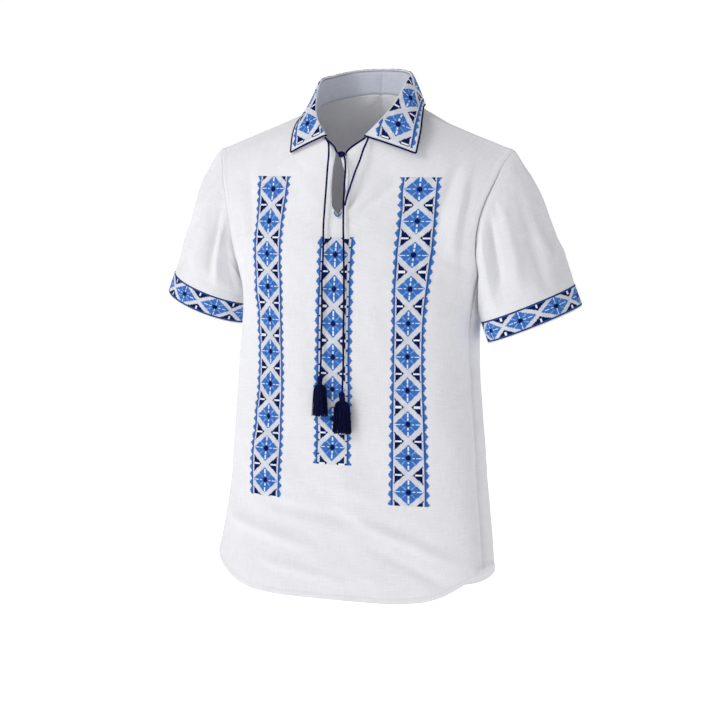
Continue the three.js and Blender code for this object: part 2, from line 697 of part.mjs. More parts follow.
// Keeps what lies between two levels.
function trimmedToLevels(geometry, bottom, top) {
  const block = new THREE.BoxGeometry(1000, 1000, top - bottom);
  block.translate(0, 0, (top + bottom) / 2);
  const mesh = solid(geometry).intersect(solid(block)).getMesh();
  const out = new THREE.BufferGeometry();
  out.setAttribute('position', new THREE.BufferAttribute(mesh.vertProperties, 3));
  out.setIndex(new THREE.BufferAttribute(mesh.triVerts, 1));
  return out;
}

// Turns a closed geometry so that its faces point out.
function outwardFacing(geometry) {
  const plain = joined(geometry);
  const [position, index] = [plain.attributes.position, plain.index.array];
  const corner = (k) => new THREE.Vector3().fromBufferAttribute(position, index[k]);
  let volume = 0;
  for (let k = 0; k < index.length; k += 3) {
    volume += corner(k).dot(corner(k + 1).cross(corner(k + 2)));
  }
  if (volume < 0) index.reverse();
  return plain;
}

// ---------------------------------------------------------------- assembly
const linen = new THREE.MeshStandardMaterial({ color: 0xf4f3f2, roughness: 0.85 });
const collarLinen = new THREE.MeshStandardMaterial({ color: 0xeeeef1, roughness: 0.85 });
const stitching = new THREE.MeshStandardMaterial({ color: 0x3f7fd0, roughness: 0.6 });
const navy = new THREE.MeshStandardMaterial({ color: 0x14144e, roughness: 0.6 });

const shirt = new THREE.Group();

function addPiece(name, geometry, material) {
  const mesh = new THREE.Mesh(geometry, material);
  mesh.name = name;
  shirt.add(mesh);
  return mesh;
}

const reversed = (rows) => rows.map((row) => [...row].reverse());
const halves = {
  frontLeft: panelHalf(FRONT_MIDDLE, ARMHOLE_FRONT, FRONT_FOLDS, 1),
  frontRight: panelHalf(FRONT_MIDDLE_RIGHT, ARMHOLE_FRONT, FRONT_FOLDS, -1),
  backLeft: panelHalf(BACK_MIDDLE, ARMHOLE_BACK, BACK_FOLDS, 1),
  backRight: panelHalf(BACK_MIDDLE, ARMHOLE_BACK, BACK_FOLDS, -1),
};
const sleeves = {
  left: sleeveRings(halves.frontLeft, halves.backLeft, 1),
  right: sleeveRings(halves.frontRight, halves.backRight, -1),
};

// The whole shell gives the normals, so that neighbours meet with parallel ends at a seam.
const shell = new Sheet();
shell.addGrid(halves.frontLeft);
shell.addGrid(reversed(halves.frontRight));
shell.addGrid(reversed(halves.backLeft));
shell.addGrid(halves.backRight);
shell.addGrid(sleeves.left, true);
shell.addGrid(sleeves.right, true);
const shellNormals = shell.normals();
const sharedNormals = (sheet) => sheet.points.map((point) => shellNormals[shell.add(point)]);

function sheetOf(...grids) {
  const sheet = new Sheet();
  grids.forEach(({ rows, closed }) => sheet.addGrid(rows, closed));
  return sheet;
}

function buildBody() {
  const front = sheetOf({ rows: halves.frontLeft }, { rows: reversed(halves.frontRight) });
  const back = sheetOf({ rows: reversed(halves.backLeft) }, { rows: halves.backRight });
  addPiece('front', clothWall(front, 0, -LINEN, { normals: sharedNormals(front) }), linen);
  addPiece('back', clothWall(back, 0, -LINEN, { normals: sharedNormals(back) }), linen);
}

function buildSleeve(side) {
  const rings = sleeves[side];
  const sleeve = sheetOf({ rows: rings, closed: true });
  const wall = clothWall(sleeve, 0, -LINEN, { normals: sharedNormals(sleeve) });
  addPiece(`sleeve_${side}`, wall, linen);
  const band = sheetOf({ rows: rings.slice(-3, -1), closed: true });
  const options = { normals: sharedNormals(band), drawBack: 0 };
  const bandWall = clothWall(band, SEAM_GAP + STITCH_HEIGHT, SEAM_GAP, options);
  addPiece(`sleeve_band_${side}`, bandWall, stitching);
}

// An embroidered strip: the panel's own points between two columns, moved out and trimmed.
function buildStrip(name, grids, bottom, top) {
  const sheet = sheetOf(...grids);
  const options = { normals: sharedNormals(sheet), drawBack: 0 };
  const layer = clothWall(sheet, SEAM_GAP + STITCH_HEIGHT, SEAM_GAP, options);
  addPiece(name, trimmedToLevels(layer, bottom, top), stitching);
}

function buildStrips() {
  const first = INNER_COLUMNS.length - 1;
  const columns = (rows, from, to) => rows.slice(2).map((row) => row.slice(from, to + 1));
  const left = columns(halves.frontLeft, first, first + STRIP_COLUMNS);
  const right = reversed(columns(halves.frontRight, first, first + STRIP_COLUMNS));
  buildStrip('embroidery_left', [{ rows: left }], STRIP_BOTTOM, STRIP_TOP);
  buildStrip('embroidery_right', [{ rows: right }], STRIP_BOTTOM, STRIP_TOP);
  const below = (rows) => rows.slice(ARMHOLE_STEPS).map((row) => row.slice(0, 3));
  const centre = [{ rows: below(halves.frontLeft) }, { rows: reversed(below(halves.frontRight)) }];
  buildStrip('embroidery_centre', centre, CENTRE_STRIP_BOTTOM, CENTRE_STRIP_TOP);
}

function buildCollar() {
  const left = collarHalf(halves.frontLeft, halves.backLeft, 1);
  const right = collarHalf(halves.frontRight, halves.backRight, -1);
  const sections = [...left, ...right.slice(0, -1).reverse()];
  const stand = sheetOf({ rows: standRows(sections) });
  const leafGrid = leafRows(sections);
  const leaf = sheetOf({ rows: leafGrid });
  addPiece('collar_stand', clothWall(stand, 0, -LINEN, { drawBack: 0 }), collarLinen);
  addPiece('collar', clothWall(leaf, 0, -COLLAR_CLOTH, { drawBack: 0 }), collarLinen);
  const radius = PIPING_DIAMETER / 2;
  const outline = leafOutline(leafGrid, radius + SEAM_GAP);
  addPiece('collar_piping', tubeThrough(outline, radius, PIPING_SIDES), navy);
}

function buildNeckPiping() {
  const radius = PIPING_DIAMETER / 2;
  const left = neckEdgeRun(halves.frontLeft, 1);
  const right = neckEdgeRun(halves.frontRight, -1);
  addPiece('neck_piping_left', tubeThrough(left, radius, PIPING_SIDES), navy);
  addPiece('neck_piping_right', tubeThrough(right, radius, PIPING_SIDES), navy);
}

function buildCords() {
  addPiece('cord_right', hangingCord(CORD_RIGHT_ROUTE, CORD_STEPS.long), navy);
  addPiece('cord_left', hangingCord(CORD_LEFT_ROUTE, CORD_STEPS.long), navy);
  addPiece('cord_branch', hangingCord(CORD_BRANCH_ROUTE, CORD_STEPS.branch), navy);
  const knot = new THREE.SphereGeometry(1, 12, 8);
  knot.scale(NECK_KNOT.across, NECK_KNOT.deep, NECK_KNOT.high);
  addPiece('neck_knot', outwardFacing(knot), navy).position.set(0, NECK_KNOT.y, NECK_KNOT.z);
  for (const tassel of TASSELS) {
    addPiece(tassel.name, tasselGeometry(tassel), navy)
      .position.set(tassel.x, tassel.y, tassel.z);
  }
}

buildBody();
['left', 'right'].forEach(buildSleeve);
buildStrips();
buildCollar();
buildNeckPiping();
buildCords();

export default shirt;
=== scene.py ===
# %% [markdown]
# # A folk tunic shirt, worn
#
# The real shirt is cut from white linen: a front with a neck slit, a back, two set-in sleeves and
# a turned-down collar. Bands of counted stitches in blue, navy and white run down the front,
# round the sleeve ends and along the collar, and two tasselled cords hang from the neck.
# The shirt is shown as its wearer fills it, hollow and open at the neck, sleeves and hem.
#
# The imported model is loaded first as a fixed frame. Its solids already have the garment's true
# shape, so the cloth here follows the same named sections, only finer.

import math

import bpy
import numpy as np
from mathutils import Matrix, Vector


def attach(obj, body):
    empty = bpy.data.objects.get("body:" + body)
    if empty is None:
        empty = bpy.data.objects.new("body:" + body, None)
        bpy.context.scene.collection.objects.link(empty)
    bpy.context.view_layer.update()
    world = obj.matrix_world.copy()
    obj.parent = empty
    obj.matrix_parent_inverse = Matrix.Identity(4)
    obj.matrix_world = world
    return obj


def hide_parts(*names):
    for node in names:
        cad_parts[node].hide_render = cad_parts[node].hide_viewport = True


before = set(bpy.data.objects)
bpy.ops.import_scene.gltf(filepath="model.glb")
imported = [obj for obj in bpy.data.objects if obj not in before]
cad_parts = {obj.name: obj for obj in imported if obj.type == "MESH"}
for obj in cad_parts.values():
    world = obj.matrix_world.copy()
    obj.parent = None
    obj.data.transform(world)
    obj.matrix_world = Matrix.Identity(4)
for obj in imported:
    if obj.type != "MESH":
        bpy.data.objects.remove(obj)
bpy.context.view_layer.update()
MM = 0.001  # the tables below are in millimetres, the scene is in metres

# %% [markdown]
# ## Camera
# A studio camera with a long lens stands a little to the wearer's left and slightly above the
# middle of the shirt. A long lens from far away keeps the strips of the front nearly parallel.

# %% Camera
CAMERA_AZIMUTH = math.radians(25)
CAMERA_ELEVATION = math.radians(5.5)
CAMERA_DISTANCE = 3.5
CAMERA_TARGET = Vector((0, 0, -0.378))

camera_data = bpy.data.cameras.new("studio_camera")
camera_data.lens = 116.7
camera_data.sensor_width = 36
camera_data.shift_x = -0.0049
camera = bpy.data.objects.new("studio_camera", camera_data)
bpy.context.scene.collection.objects.link(camera)
towards_camera = Vector((
    math.sin(CAMERA_AZIMUTH) * math.cos(CAMERA_ELEVATION),
    -math.cos(CAMERA_AZIMUTH) * math.cos(CAMERA_ELEVATION),
    math.sin(CAMERA_ELEVATION),
))
camera.location = CAMERA_TARGET + towards_camera * CAMERA_DISTANCE
camera.rotation_euler = towards_camera.to_track_quat("Z", "Y").to_euler()
bpy.context.scene.camera = camera
print("camera at", [round(value, 3) for value in camera.location])

# %% [markdown]
# ## Colours and node helpers
# Dyers' and designers' colours are written as sRGB hex values. Shaders want linear light, so one
# function converts them. Another adds a node, sets it up and links it, which keeps each material
# below short enough to read as a recipe.


# %% Colour and node helpers
def colour(hex_value):
    """Linear RGBA from an sRGB hex value."""
    parts = [int(hex_value[k:k + 2], 16) / 255 for k in (1, 3, 5)]
    linear = [p / 12.92 if p <= 0.04045 else ((p + 0.055) / 1.055) ** 2.4 for p in parts]
    return (*linear, 1.0)


def set_inputs(material, node, inputs):
    """Sets a node's inputs to values, or links them from (node, output) pairs."""
    for name, value in inputs.items():
        if isinstance(value, tuple) and isinstance(value[0], bpy.types.Node):
            material.node_tree.links.new(value[0].outputs[value[1]], node.inputs[name])
        else:
            node.inputs[name].default_value = value


def add_node(material, kind, settings=None, inputs=None):
    """Adds a node, with its settings and its inputs by name or number."""
    node = material.node_tree.nodes.new(kind)
    for name, value in (settings or {}).items():
        setattr(node, name, value)
    set_inputs(material, node, inputs or {})
    return node


def new_material(name, roughness, sheen=0.0, gloss=0.3):
    """A material with its Principled shader, which is cloth or thread: no metal, IOR 1.5."""
    material = bpy.data.materials.new(name)
    material.use_nodes = True
    shader = material.node_tree.nodes["Principled BSDF"]
    set_inputs(material, shader, {"Roughness": roughness, "Sheen Weight": sheen,
                                  "Sheen Roughness": 0.5, "Specular IOR Level": gloss})
    return material, shader


# %% [markdown]
# ## Linen
# Linen is plain-woven flax. It is matt, its threads are uneven (slubs), and a worn shirt of it is
# softly crumpled. The eye reads a fine grid of threads, faint thick and thin places and no gloss.
# Real threads here lie about 0.6 mm apart, too fine to show, so the weave is drawn at 1.8 mm.
# A wave texture for the warp and one for the weft give the grid; a stretched noise, the slubs.

# %% Linen material
WEAVE_SPACING = 1.8 * MM
SLUB_LENGTH = 22 * MM
WAVE_PERIOD = 2 * math.pi / 20  # a Wave texture of scale 1 repeats after this length
MIX_A, MIX_B, MIX_RESULT = 6, 7, 2  # the Mix node's colour sockets share their names


def linen_material(name, light, shade, depth):
    """Plain-woven cloth between two near tones; depth is the relief of its threads, in metres."""
    material, shader = new_material(name, roughness=0.92, sheen=0.04)
    place = add_node(material, "ShaderNodeUVMap", {"uv_map": "cloth"})
    waves = [add_node(material, "ShaderNodeTexWave", {"bands_direction": direction},
                      {"Vector": (place, "UV"), "Scale": WAVE_PERIOD / WEAVE_SPACING,
                       "Distortion": 1.2, "Detail": 1.0, "Detail Scale": 0.6})
             for direction in ("X", "Y")]
    slubs = []
    for stretch in ((1 / SLUB_LENGTH, 12 / SLUB_LENGTH, 1), (12 / SLUB_LENGTH, 1 / SLUB_LENGTH, 1)):
        stretched = add_node(material, "ShaderNodeMapping", None,
                             {"Vector": (place, "UV"), "Scale": stretch})
        slubs.append(add_node(material, "ShaderNodeTexNoise", None,
                              {"Vector": (stretched, "Vector"), "Scale": 1.0, "Detail": 3.0}))
    grid = add_node(material, "ShaderNodeMath", {"operation": "MULTIPLY"},
                    {0: (waves[0], "Fac"), 1: (waves[1], "Fac")})
    thick_and_thin = add_node(material, "ShaderNodeMath", {"operation": "ADD"},
                              {0: (slubs[0], "Fac"), 1: (slubs[1], "Fac")})
    relief = add_node(material, "ShaderNodeMath", {"operation": "ADD"},
                      {0: (grid, "Value"), 1: (thick_and_thin, "Value")})
    bump = add_node(material, "ShaderNodeBump", None,
                    {"Height": (relief, "Value"), "Distance": depth, "Strength": 0.6})
    tone = add_node(material, "ShaderNodeMapRange", None,
                    {"Value": (thick_and_thin, "Value"), "From Min": 0.7, "From Max": 1.3})
    mixed = add_node(material, "ShaderNodeMix", {"data_type": "RGBA"},
                     {"Factor": (tone, "Result"), MIX_A: colour(shade), MIX_B: colour(light)})
    set_inputs(material, shader, {"Base Color": (mixed, MIX_RESULT), "Normal": (bump, "Normal")})
    return material


white_linen = linen_material("white linen", "#eaeaed", "#e0e0e4", depth=0.14 * MM)
collar_linen = linen_material("collar linen", "#e8eaef", "#dee0e7", depth=0.12 * MM)
neckband_linen = linen_material("grey-blue neckband linen", "#cfd3de", "#c3c7d4", depth=0.10 * MM)
print("linens:", white_linen.name, collar_linen.name, neckband_linen.name)

# %% [markdown]
# ## Threads
# The stitches are mercerised cotton floss: smooth, a little silky, each stitch catching the
# light by itself. The relief of the stitches is real geometry further down, so the material only
# adds what is finer: a slight change of tone from one length of thread to the next.

# %% Thread materials
TONE_PATCH = 9 * MM


def thread_material(name, light, shade, roughness=0.62, gloss=0.2):
    """Cotton thread that varies between two near tones."""
    material, shader = new_material(name, roughness, sheen=0.02, gloss=gloss)
    place = add_node(material, "ShaderNodeTexCoord")
    noise = add_node(material, "ShaderNodeTexNoise", None,
                     {"Vector": (place, "Object"), "Scale": 1 / TONE_PATCH, "Detail": 4.0})
    tones = add_node(material, "ShaderNodeValToRGB", None, {"Fac": (noise, "Fac")})
    tones.color_ramp.elements[0].position = 0.35
    tones.color_ramp.elements[0].color = colour(shade)
    tones.color_ramp.elements[1].position = 0.65
    tones.color_ramp.elements[1].color = colour(light)
    set_inputs(material, shader, {"Base Color": (tones, "Color")})
    return material


THREADS = {
    "white": thread_material("white embroidery cotton", "#e6e8ee", "#dadde4"),
    "bright": thread_material("bleached embroidery cotton", "#fafcff", "#eef3fb"),
    "sky": thread_material("sky blue embroidery cotton", "#a4c6ee", "#8fb6e4"),
    "blue": thread_material("mid blue embroidery cotton", "#4a86d0", "#3c76c2"),
    "royal": thread_material("royal blue embroidery cotton", "#3568b4", "#2c5ba4"),
    "navy": thread_material("navy embroidery cotton", "#0c1e62", "#081753", gloss=0.08),
}
cord_cotton = thread_material("navy cord cotton", "#0b1152", "#070b3e", roughness=0.8, gloss=0.06)
tassel_cotton = thread_material("dark navy tassel cotton", "#0a1140", "#060a2c", roughness=0.8,
                                gloss=0.06)
seam_cotton = thread_material("white sewing cotton", "#e9e9ee", "#dcdce2", roughness=0.7)
print("threads:", ", ".join(THREADS))

# %% [markdown]
# ## Tubes and twisted cord
# A cord is a tube along a smooth line. The line is a Catmull-Rom curve through given
# points. A real neck cord is twisted from three strands, so the tube's section has three lobes
# that turn as it runs. Making the mesh ring by ring gives those lobes, which a bevelled curve
# could not.


# %% Line and tube helpers
def catmull_rom(a, b, c, d, t):
    """The smooth curve from b (t = 0) to c (t = 1), with a before and d after them."""
    bend = 2 * a - 5 * b + 4 * c - d
    twist = 3 * b - a - 3 * c + d
    return 0.5 * (2 * b + (c - a) * t + bend * t ** 2 + twist * t ** 3)


def read_rows(table, place):
    """Smooth reading of a table between its rows; place counts rows and may be an array."""
    table = np.asarray(table, float)
    last = len(table) - 1
    place = np.clip(np.asarray(place, float), 0, last)
    row = np.minimum(np.floor(place).astype(int), last - 1)
    a, b, c, d = (table[np.clip(row + k, 0, last)] for k in (-1, 0, 1, 2))
    return catmull_rom(a, b, c, d, (place - row)[..., None])


def lengths_along(points):
    """How far along a line each of its points lies."""
    return np.concatenate([[0], np.cumsum(np.linalg.norm(np.diff(points, axis=0), axis=1))])


def points_at(where, run, values):
    """A line's points (or any rows that go with them) at given lengths along it."""
    return np.stack([np.interp(where, run, values[:, k]) for k in range(3)], axis=-1)


def evenly(points, step):
    """The same line as points about one step apart."""
    points = np.asarray(points, float)
    run = lengths_along(points)
    count = max(2, int(round(run[-1] / step)) + 1)
    return points_at(np.linspace(0, run[-1], count), run, points)


def smooth_line(route, step):
    """Evenly spaced points on the smooth curve through a route."""
    return evenly(read_rows(route, np.linspace(0, len(route) - 1, 40 * len(route))), step)


def unit(vectors):
    return vectors / np.maximum(np.linalg.norm(vectors, axis=-1, keepdims=True), 1e-9)


def tube_grid(line, radius, sides, lobes=0, lay_length=9.0, lobe_depth=0.16):
    """Rings of points round a line; lobes and lay_length (mm) twist strands into it."""
    along = unit(np.gradient(line, axis=0))
    across = np.zeros_like(line)
    # Each ring takes its directions from the ring before, so the tube doesn't spin.
    seed = np.array([0.31, 0.2, 0.93])
    for k, direction in enumerate(along):
        seed = seed - direction * seed.dot(direction)
        seed /= np.linalg.norm(seed)
        across[k] = seed
    third = np.cross(along, across)
    angle = np.linspace(0, 2 * np.pi, sides, endpoint=False)[None, :]
    size = np.broadcast_to(np.asarray(radius, float), (len(line),))[:, None] * np.ones_like(angle)
    if lobes:
        phase = lobes / 2 * (angle - 2 * np.pi * lengths_along(line)[:, None] / lay_length)
        size = size * (1 - lobe_depth * np.abs(np.cos(phase)) ** 3)
    return line[:, None] + size[..., None] * (
        np.cos(angle)[..., None] * across[:, None] + np.sin(angle)[..., None] * third[:, None])


def mesh_object(name, vertices, faces, materials, uv=None, face_materials=None, smooth=True):
    """An object from millimetre vertices and faces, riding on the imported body."""
    mesh = bpy.data.meshes.new(name)
    faces = faces.tolist() if isinstance(faces, np.ndarray) else faces
    mesh.from_pydata((np.asarray(vertices) * MM).tolist(), [], faces)
    for material in materials:
        mesh.materials.append(material)
    if uv is not None:
        corner = np.empty(len(mesh.loops), dtype=np.int32)
        mesh.loops.foreach_get("vertex_index", corner)
        layer = mesh.uv_layers.new(name="cloth")
        layer.data.foreach_set("uv", (np.asarray(uv) * MM)[corner].ravel())
    if face_materials is not None:
        mesh.polygons.foreach_set("material_index", np.asarray(face_materials, dtype=np.int32))
    mesh.polygons.foreach_set("use_smooth", np.full(len(mesh.polygons), smooth))
    mesh.update()
    thing = bpy.data.objects.new(name, mesh)
    bpy.context.scene.collection.objects.link(thing)
    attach(thing, "root")
    return thing


def ring_faces(rows, columns, start=0, capped=True):
    """Faces of a tube of rings, with flat ends."""
    faces = []
    for j in range(rows - 1):
        for i in range(columns):
            n = (i + 1) % columns
            faces.append((start + j * columns + i, start + j * columns + n,
                          start + (j + 1) * columns + n, start + (j + 1) * columns + i))
    if capped:
        faces.append(tuple(start + i for i in reversed(range(columns))))
        faces.append(tuple(start + (rows - 1) * columns + i for i in range(columns)))
    return faces


def tubes_object(name, grids, material):
    """One object from several tubes."""
    vertices, faces = [], []
    for rings in grids:
        faces += ring_faces(rings.shape[0], rings.shape[1], start=sum(map(len, vertices)))
        vertices.append(rings.reshape(-1, 3))
    return mesh_object(name, np.concatenate(vertices), faces, [material])


# %% [markdown]
# ## Neck cords
# Two navy cords leave the neck and hang to the middle of the front; a short one runs from the
# left collar corner and is caught to the left cord at the foot of the slit. They lie on the
# chest under their own weight, so each route is a nearly straight fall with a slight wander.

# %% Neck cords
CORD_DIAMETER = 2.5
CORD_ROUTES = {
    "cord_right": [
        (-26.8, -69.4, -49.6), (-22, -73.6, -55.5), (-19.7, -78, -70), (-19.6, -81.5, -86),
        (-19.9, -84.2, -105), (-20.2, -87.2, -126), (-20.5, -90.6, -149), (-20.3, -94.6, -172),
        (-18.4, -99.6, -197), (-17.8, -101.8, -222), (-18.4, -104, -248), (-17.6, -106, -278),
        (-16.9, -107.6, -308), (-17.2, -109.4, -338), (-16.3, -112, -366), (-16, -115.5, -391),
    ],
    "cord_left": [
        (5.2, -77.4, -72.9), (8.3, -80.9, -82), (9.7, -83.4, -95), (9.3, -85.2, -110),
        (9.2, -88, -130), (10.3, -91.4, -153), (12.4, -96.2, -178), (14.9, -100.4, -203),
        (16.3, -102.6, -230), (17.3, -104.4, -258), (18, -106.2, -287), (18.1, -107.8, -317),
        (18.5, -109.3, -347), (19.3, -111.2, -376), (20, -114.8, -398), (20.2, -117, -413),
    ],
    "cord_branch": [
        (39.5, -68.6, -46.4), (38, -71.4, -53), (34.7, -74, -62), (32.7, -76.2, -70),
        (30.9, -77.8, -77), (28.3, -79.6, -85), (25.2, -81.2, -93.5), (22.9, -82.4, -101),
        (20.7, -83.4, -108), (18.4, -84.8, -115.5), (16.6, -86.4, -123), (15, -88, -129.5),
        (13.8, -89.6, -136), (12.7, -91.4, -144),
    ],
}
INTO_HEAD = 8  # the two long cords run on inside the heads of their tassels
CORD_PLUMP = 1.2  # a soft cord is measured pressed flat; its strands stand a little prouder
cords, cord_lines, cord_lengths = {}, {}, {}
for name, route in CORD_ROUTES.items():
    if name != "cord_branch":
        x, y, z = route[-1]
        route = [*route, (x, y, z - INTO_HEAD)]
    line = smooth_line(route, 0.9)
    grid = tube_grid(line, CORD_DIAMETER / 2 * CORD_PLUMP, 15, lobes=3, lay_length=8.0)
    cords[name] = tubes_object(f"{name}_twisted", [grid], cord_cotton)
    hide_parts(name)
    cord_lines[name] = line
    cord_lengths[name] = float(lengths_along(line)[-1])
    print(name, "length", round(cord_lengths[name]), "mm")

# %% [markdown]
# ## Knot and tassels
# Where the neck edges meet, the cord is tied in a small round knot. Its shape is a trefoil: a
# tube that winds twice round a ring while it passes through it three times.
#
# A tassel is a bundle of threads folded over the cord's end and bound below the fold. A head, a
# binding of a few turns and a skirt of loose threads, each a thin tube of its own, make it. The
# threads spread unevenly, so their places come from a seeded random generator.

# %% Knot
KNOT = np.array([0.0, -74.9, -70.2])
KNOT_SIZE = np.array([1.3, 1.5, 0.78])  # wider than it is tall
KNOT_CORD = 1.3  # radius of the cord in the knot, pulled tight
turn = np.linspace(0, 2 * np.pi, 121)
ring = 3.0 + 1.35 * np.cos(3 * turn)
knot_line = KNOT + KNOT_SIZE * np.stack([ring * np.cos(2 * turn), -np.sin(3 * turn),
                                         ring * np.sin(2 * turn)], axis=1)
neck_knot = tubes_object("neck_knot_tied", [tube_grid(knot_line, KNOT_CORD, 10)], cord_cotton)
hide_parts("neck_knot")

# %% Tassels
random = np.random.default_rng(7)
TASSELS = {
    "tassel_right": {"top": (-16, -116, -391.5), "length": 60, "width": 25, "depth": 11},
    "tassel_left": {"top": (20.2, -117.5, -413.5), "length": 62, "width": 31, "depth": 12},
}
# Profiles: shares of the length from the top, and of half the width there.
HEAD_PROFILE = ([0, 0.02, 0.08, 0.15, 0.2], [0.14, 0.26, 0.35, 0.3, 0.25])
SKIRT_PROFILE = ([0, 0.05, 0.12, 0.25, 0.5, 1], [0.24, 0.56, 0.74, 0.84, 0.9, 1.0])
BINDING_FROM, BINDING_TALL, BINDING_SIZE = 0.175, 0.055, 0.26  # the same shares
BINDING_TURNS = 5
SKIRT_FROM = 0.21
SKIRT_THREADS = 150
STRAIGHT = 1e6  # a lay so long that the head's strands don't turn


def tassel_tubes(top, length, width, depth):
    """Head, binding and skirt threads as tubes, hanging down from the top point."""
    top = np.array(top, float)
    half = width / 2
    low = np.linspace(0, HEAD_PROFILE[0][-1] * length, 12)
    tubes = [tube_grid(top + np.stack([0 * low, 0 * low, -low], axis=1),
                       half * np.interp(low / length, *HEAD_PROFILE), 28, lobes=14,
                       lay_length=STRAIGHT, lobe_depth=0.1)]
    wind = np.linspace(0, 2 * np.pi * BINDING_TURNS, 24 * BINDING_TURNS)
    low = (BINDING_FROM + BINDING_TALL * wind / wind[-1]) * length
    wind_size = BINDING_SIZE * half
    tubes.append(tube_grid(top + np.stack([wind_size * np.cos(wind), wind_size * np.sin(wind),
                                           -low], axis=1), 0.42, 6))
    share = np.linspace(0, 1, 13) ** 1.3
    for _ in range(SKIRT_THREADS):
        angle = random.uniform(0, 2 * np.pi)
        reach = math.sqrt(random.uniform(0.12, 1.0))
        sway = random.normal(0, 0.03, 2) * width
        spread = half * np.interp(share, *SKIRT_PROFILE) * reach
        low = (SKIRT_FROM + share * (1 - SKIRT_FROM) * random.uniform(0.93, 1.0)) * length
        tubes.append(tube_grid(top + np.stack([
            spread * np.cos(angle) + sway[0] * share ** 2,
            spread * np.sin(angle) + sway[1] * share ** 2,
            -low,
        ], axis=1), 0.55, 5))
    flat = depth / width
    for tube in tubes:
        tube[..., 1] = top[1] + (tube[..., 1] - top[1]) * flat
    return tubes


tassels = {}
for name, sizes in TASSELS.items():
    tassels[name] = tubes_object(f"{name}_threads", tassel_tubes(**sizes), tassel_cotton)
    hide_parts(name)
    print(name, len(tassels[name].data.polygons), "faces")

for name, far_end, pieces in (
    ("cord_right", "fitting", [tassels["tassel_right"]]),
    ("cord_left", "fitting", [tassels["tassel_left"], neck_knot]),
    ("cord_branch", "object", []),
):
    line = cord_lines[name]

# %% [markdown]
# ## The cut, as sections
# A pattern cutter works from a few lengths: how wide the neck is, where the armhole lies, how
# the side seam runs. The tables hold those lines for a worn shirt. Every section of a panel runs
# from its inner end, at the neck or the centre line, to its outer end, on the armhole or side
# seam. In between it follows a rounded-square curve, as cloth does round a chest.

# %% Section tables
FRONT_MIDDLE = [
    (70, 0, 0), (65, -25, -12), (53, -47, -28), (34, -63, -47), (6.5, -72, -70), (11, -76, -98),
    (8.5, -82, -134), (0, -87.5, -159), (0, -96, -205), (0, -101, -262), (0, -104, -330),
    (0, -106, -405), (0, -108, -482), (0, -110, -560), (0, -112, -640), (0, -114, -722),
]
# The slit's edge on the wearer's right stands further from the middle.
FRONT_MIDDLE_RIGHT = list(FRONT_MIDDLE)
FRONT_MIDDLE_RIGHT[4:7] = [(12.5, -71.5, -65), (15.5, -75, -94), (13.5, -82, -134)]
BACK_MIDDLE = [
    (70, 0, 0), (63, 32, 9), (38, 56, 15), (0, 66, 17), (0, 80, -12), (0, 91, -48),
    (0, 98, -92), (0, 101, -145), (0, 100, -205), (0, 95, -268), (0, 88, -335),
    (0, 82, -408), (0, 79, -484), (0, 79, -562), (0, 80, -642), (0, 81, -726),
]
ARMHOLE_FRONT = [
    (240, 0, -64), (230, -16, -84), (222, -28, -108), (212, -37, -134), (204, -43, -161),
    (199, -43, -189), (196.5, -36, -217), (196, -20, -242),
]
ARMHOLE_BACK = [
    (240, 0, -64), (235, 15, -84), (227, 29, -108), (218, 36, -134), (211, 37, -161),
    (205, 32, -189), (200, 11, -217), (196, -20, -242),
]
SIDE_SEAM = [
    (188, -20, -276), (184, -23, -318), (185, -24, -370), (191, -26, -430), (199, -29, -494),
    (206, -31, -556), (214, -32, -614), (221, -33, -668),
]
SIDE_OUT_RIGHT = [-1, 2, 6, 5, 2.5, 2, 6, 14]  # the right side seam lies further out
# How round each section is, how late along it the height changes, and how far from the middle
# the side strip's outer edge lies.
SECTION_SHAPE = [
    (0, 1, 150), (0.12, 1, 150), (0.3, 1, 150), (0.5, 1, 150), (0.68, 1, 150), (0.8, 1.1, 150),
    (0.9, 1.2, 149), (1, 1.3, 147), (1, 1.4, 143), (1, 1.5, 139), (1, 1.6, 138), (1, 1.8, 141),
    (1, 2.2, 146), (1, 3, 150), (1, 4, 151), (1, 5, 151),
]
SECTION_POWER = {"front": 2.3, "back": 2.9}  # 2 is an ellipse, more is squarer
BACK_ROUND = 0.15  # how softly the two back halves meet below the shoulders
SEAM_TWIST = 33  # mm that the side seams swing round the body, all told, by the hem
UNDERARM = 7  # number of the section at the underarm
HEM = 15  # and of the last one
SLIT_LAST = 6  # the last section that the slit crosses open
LINEN = 1.2  # thickness of the cloth; the solids hold a stiffer wall of 1.4
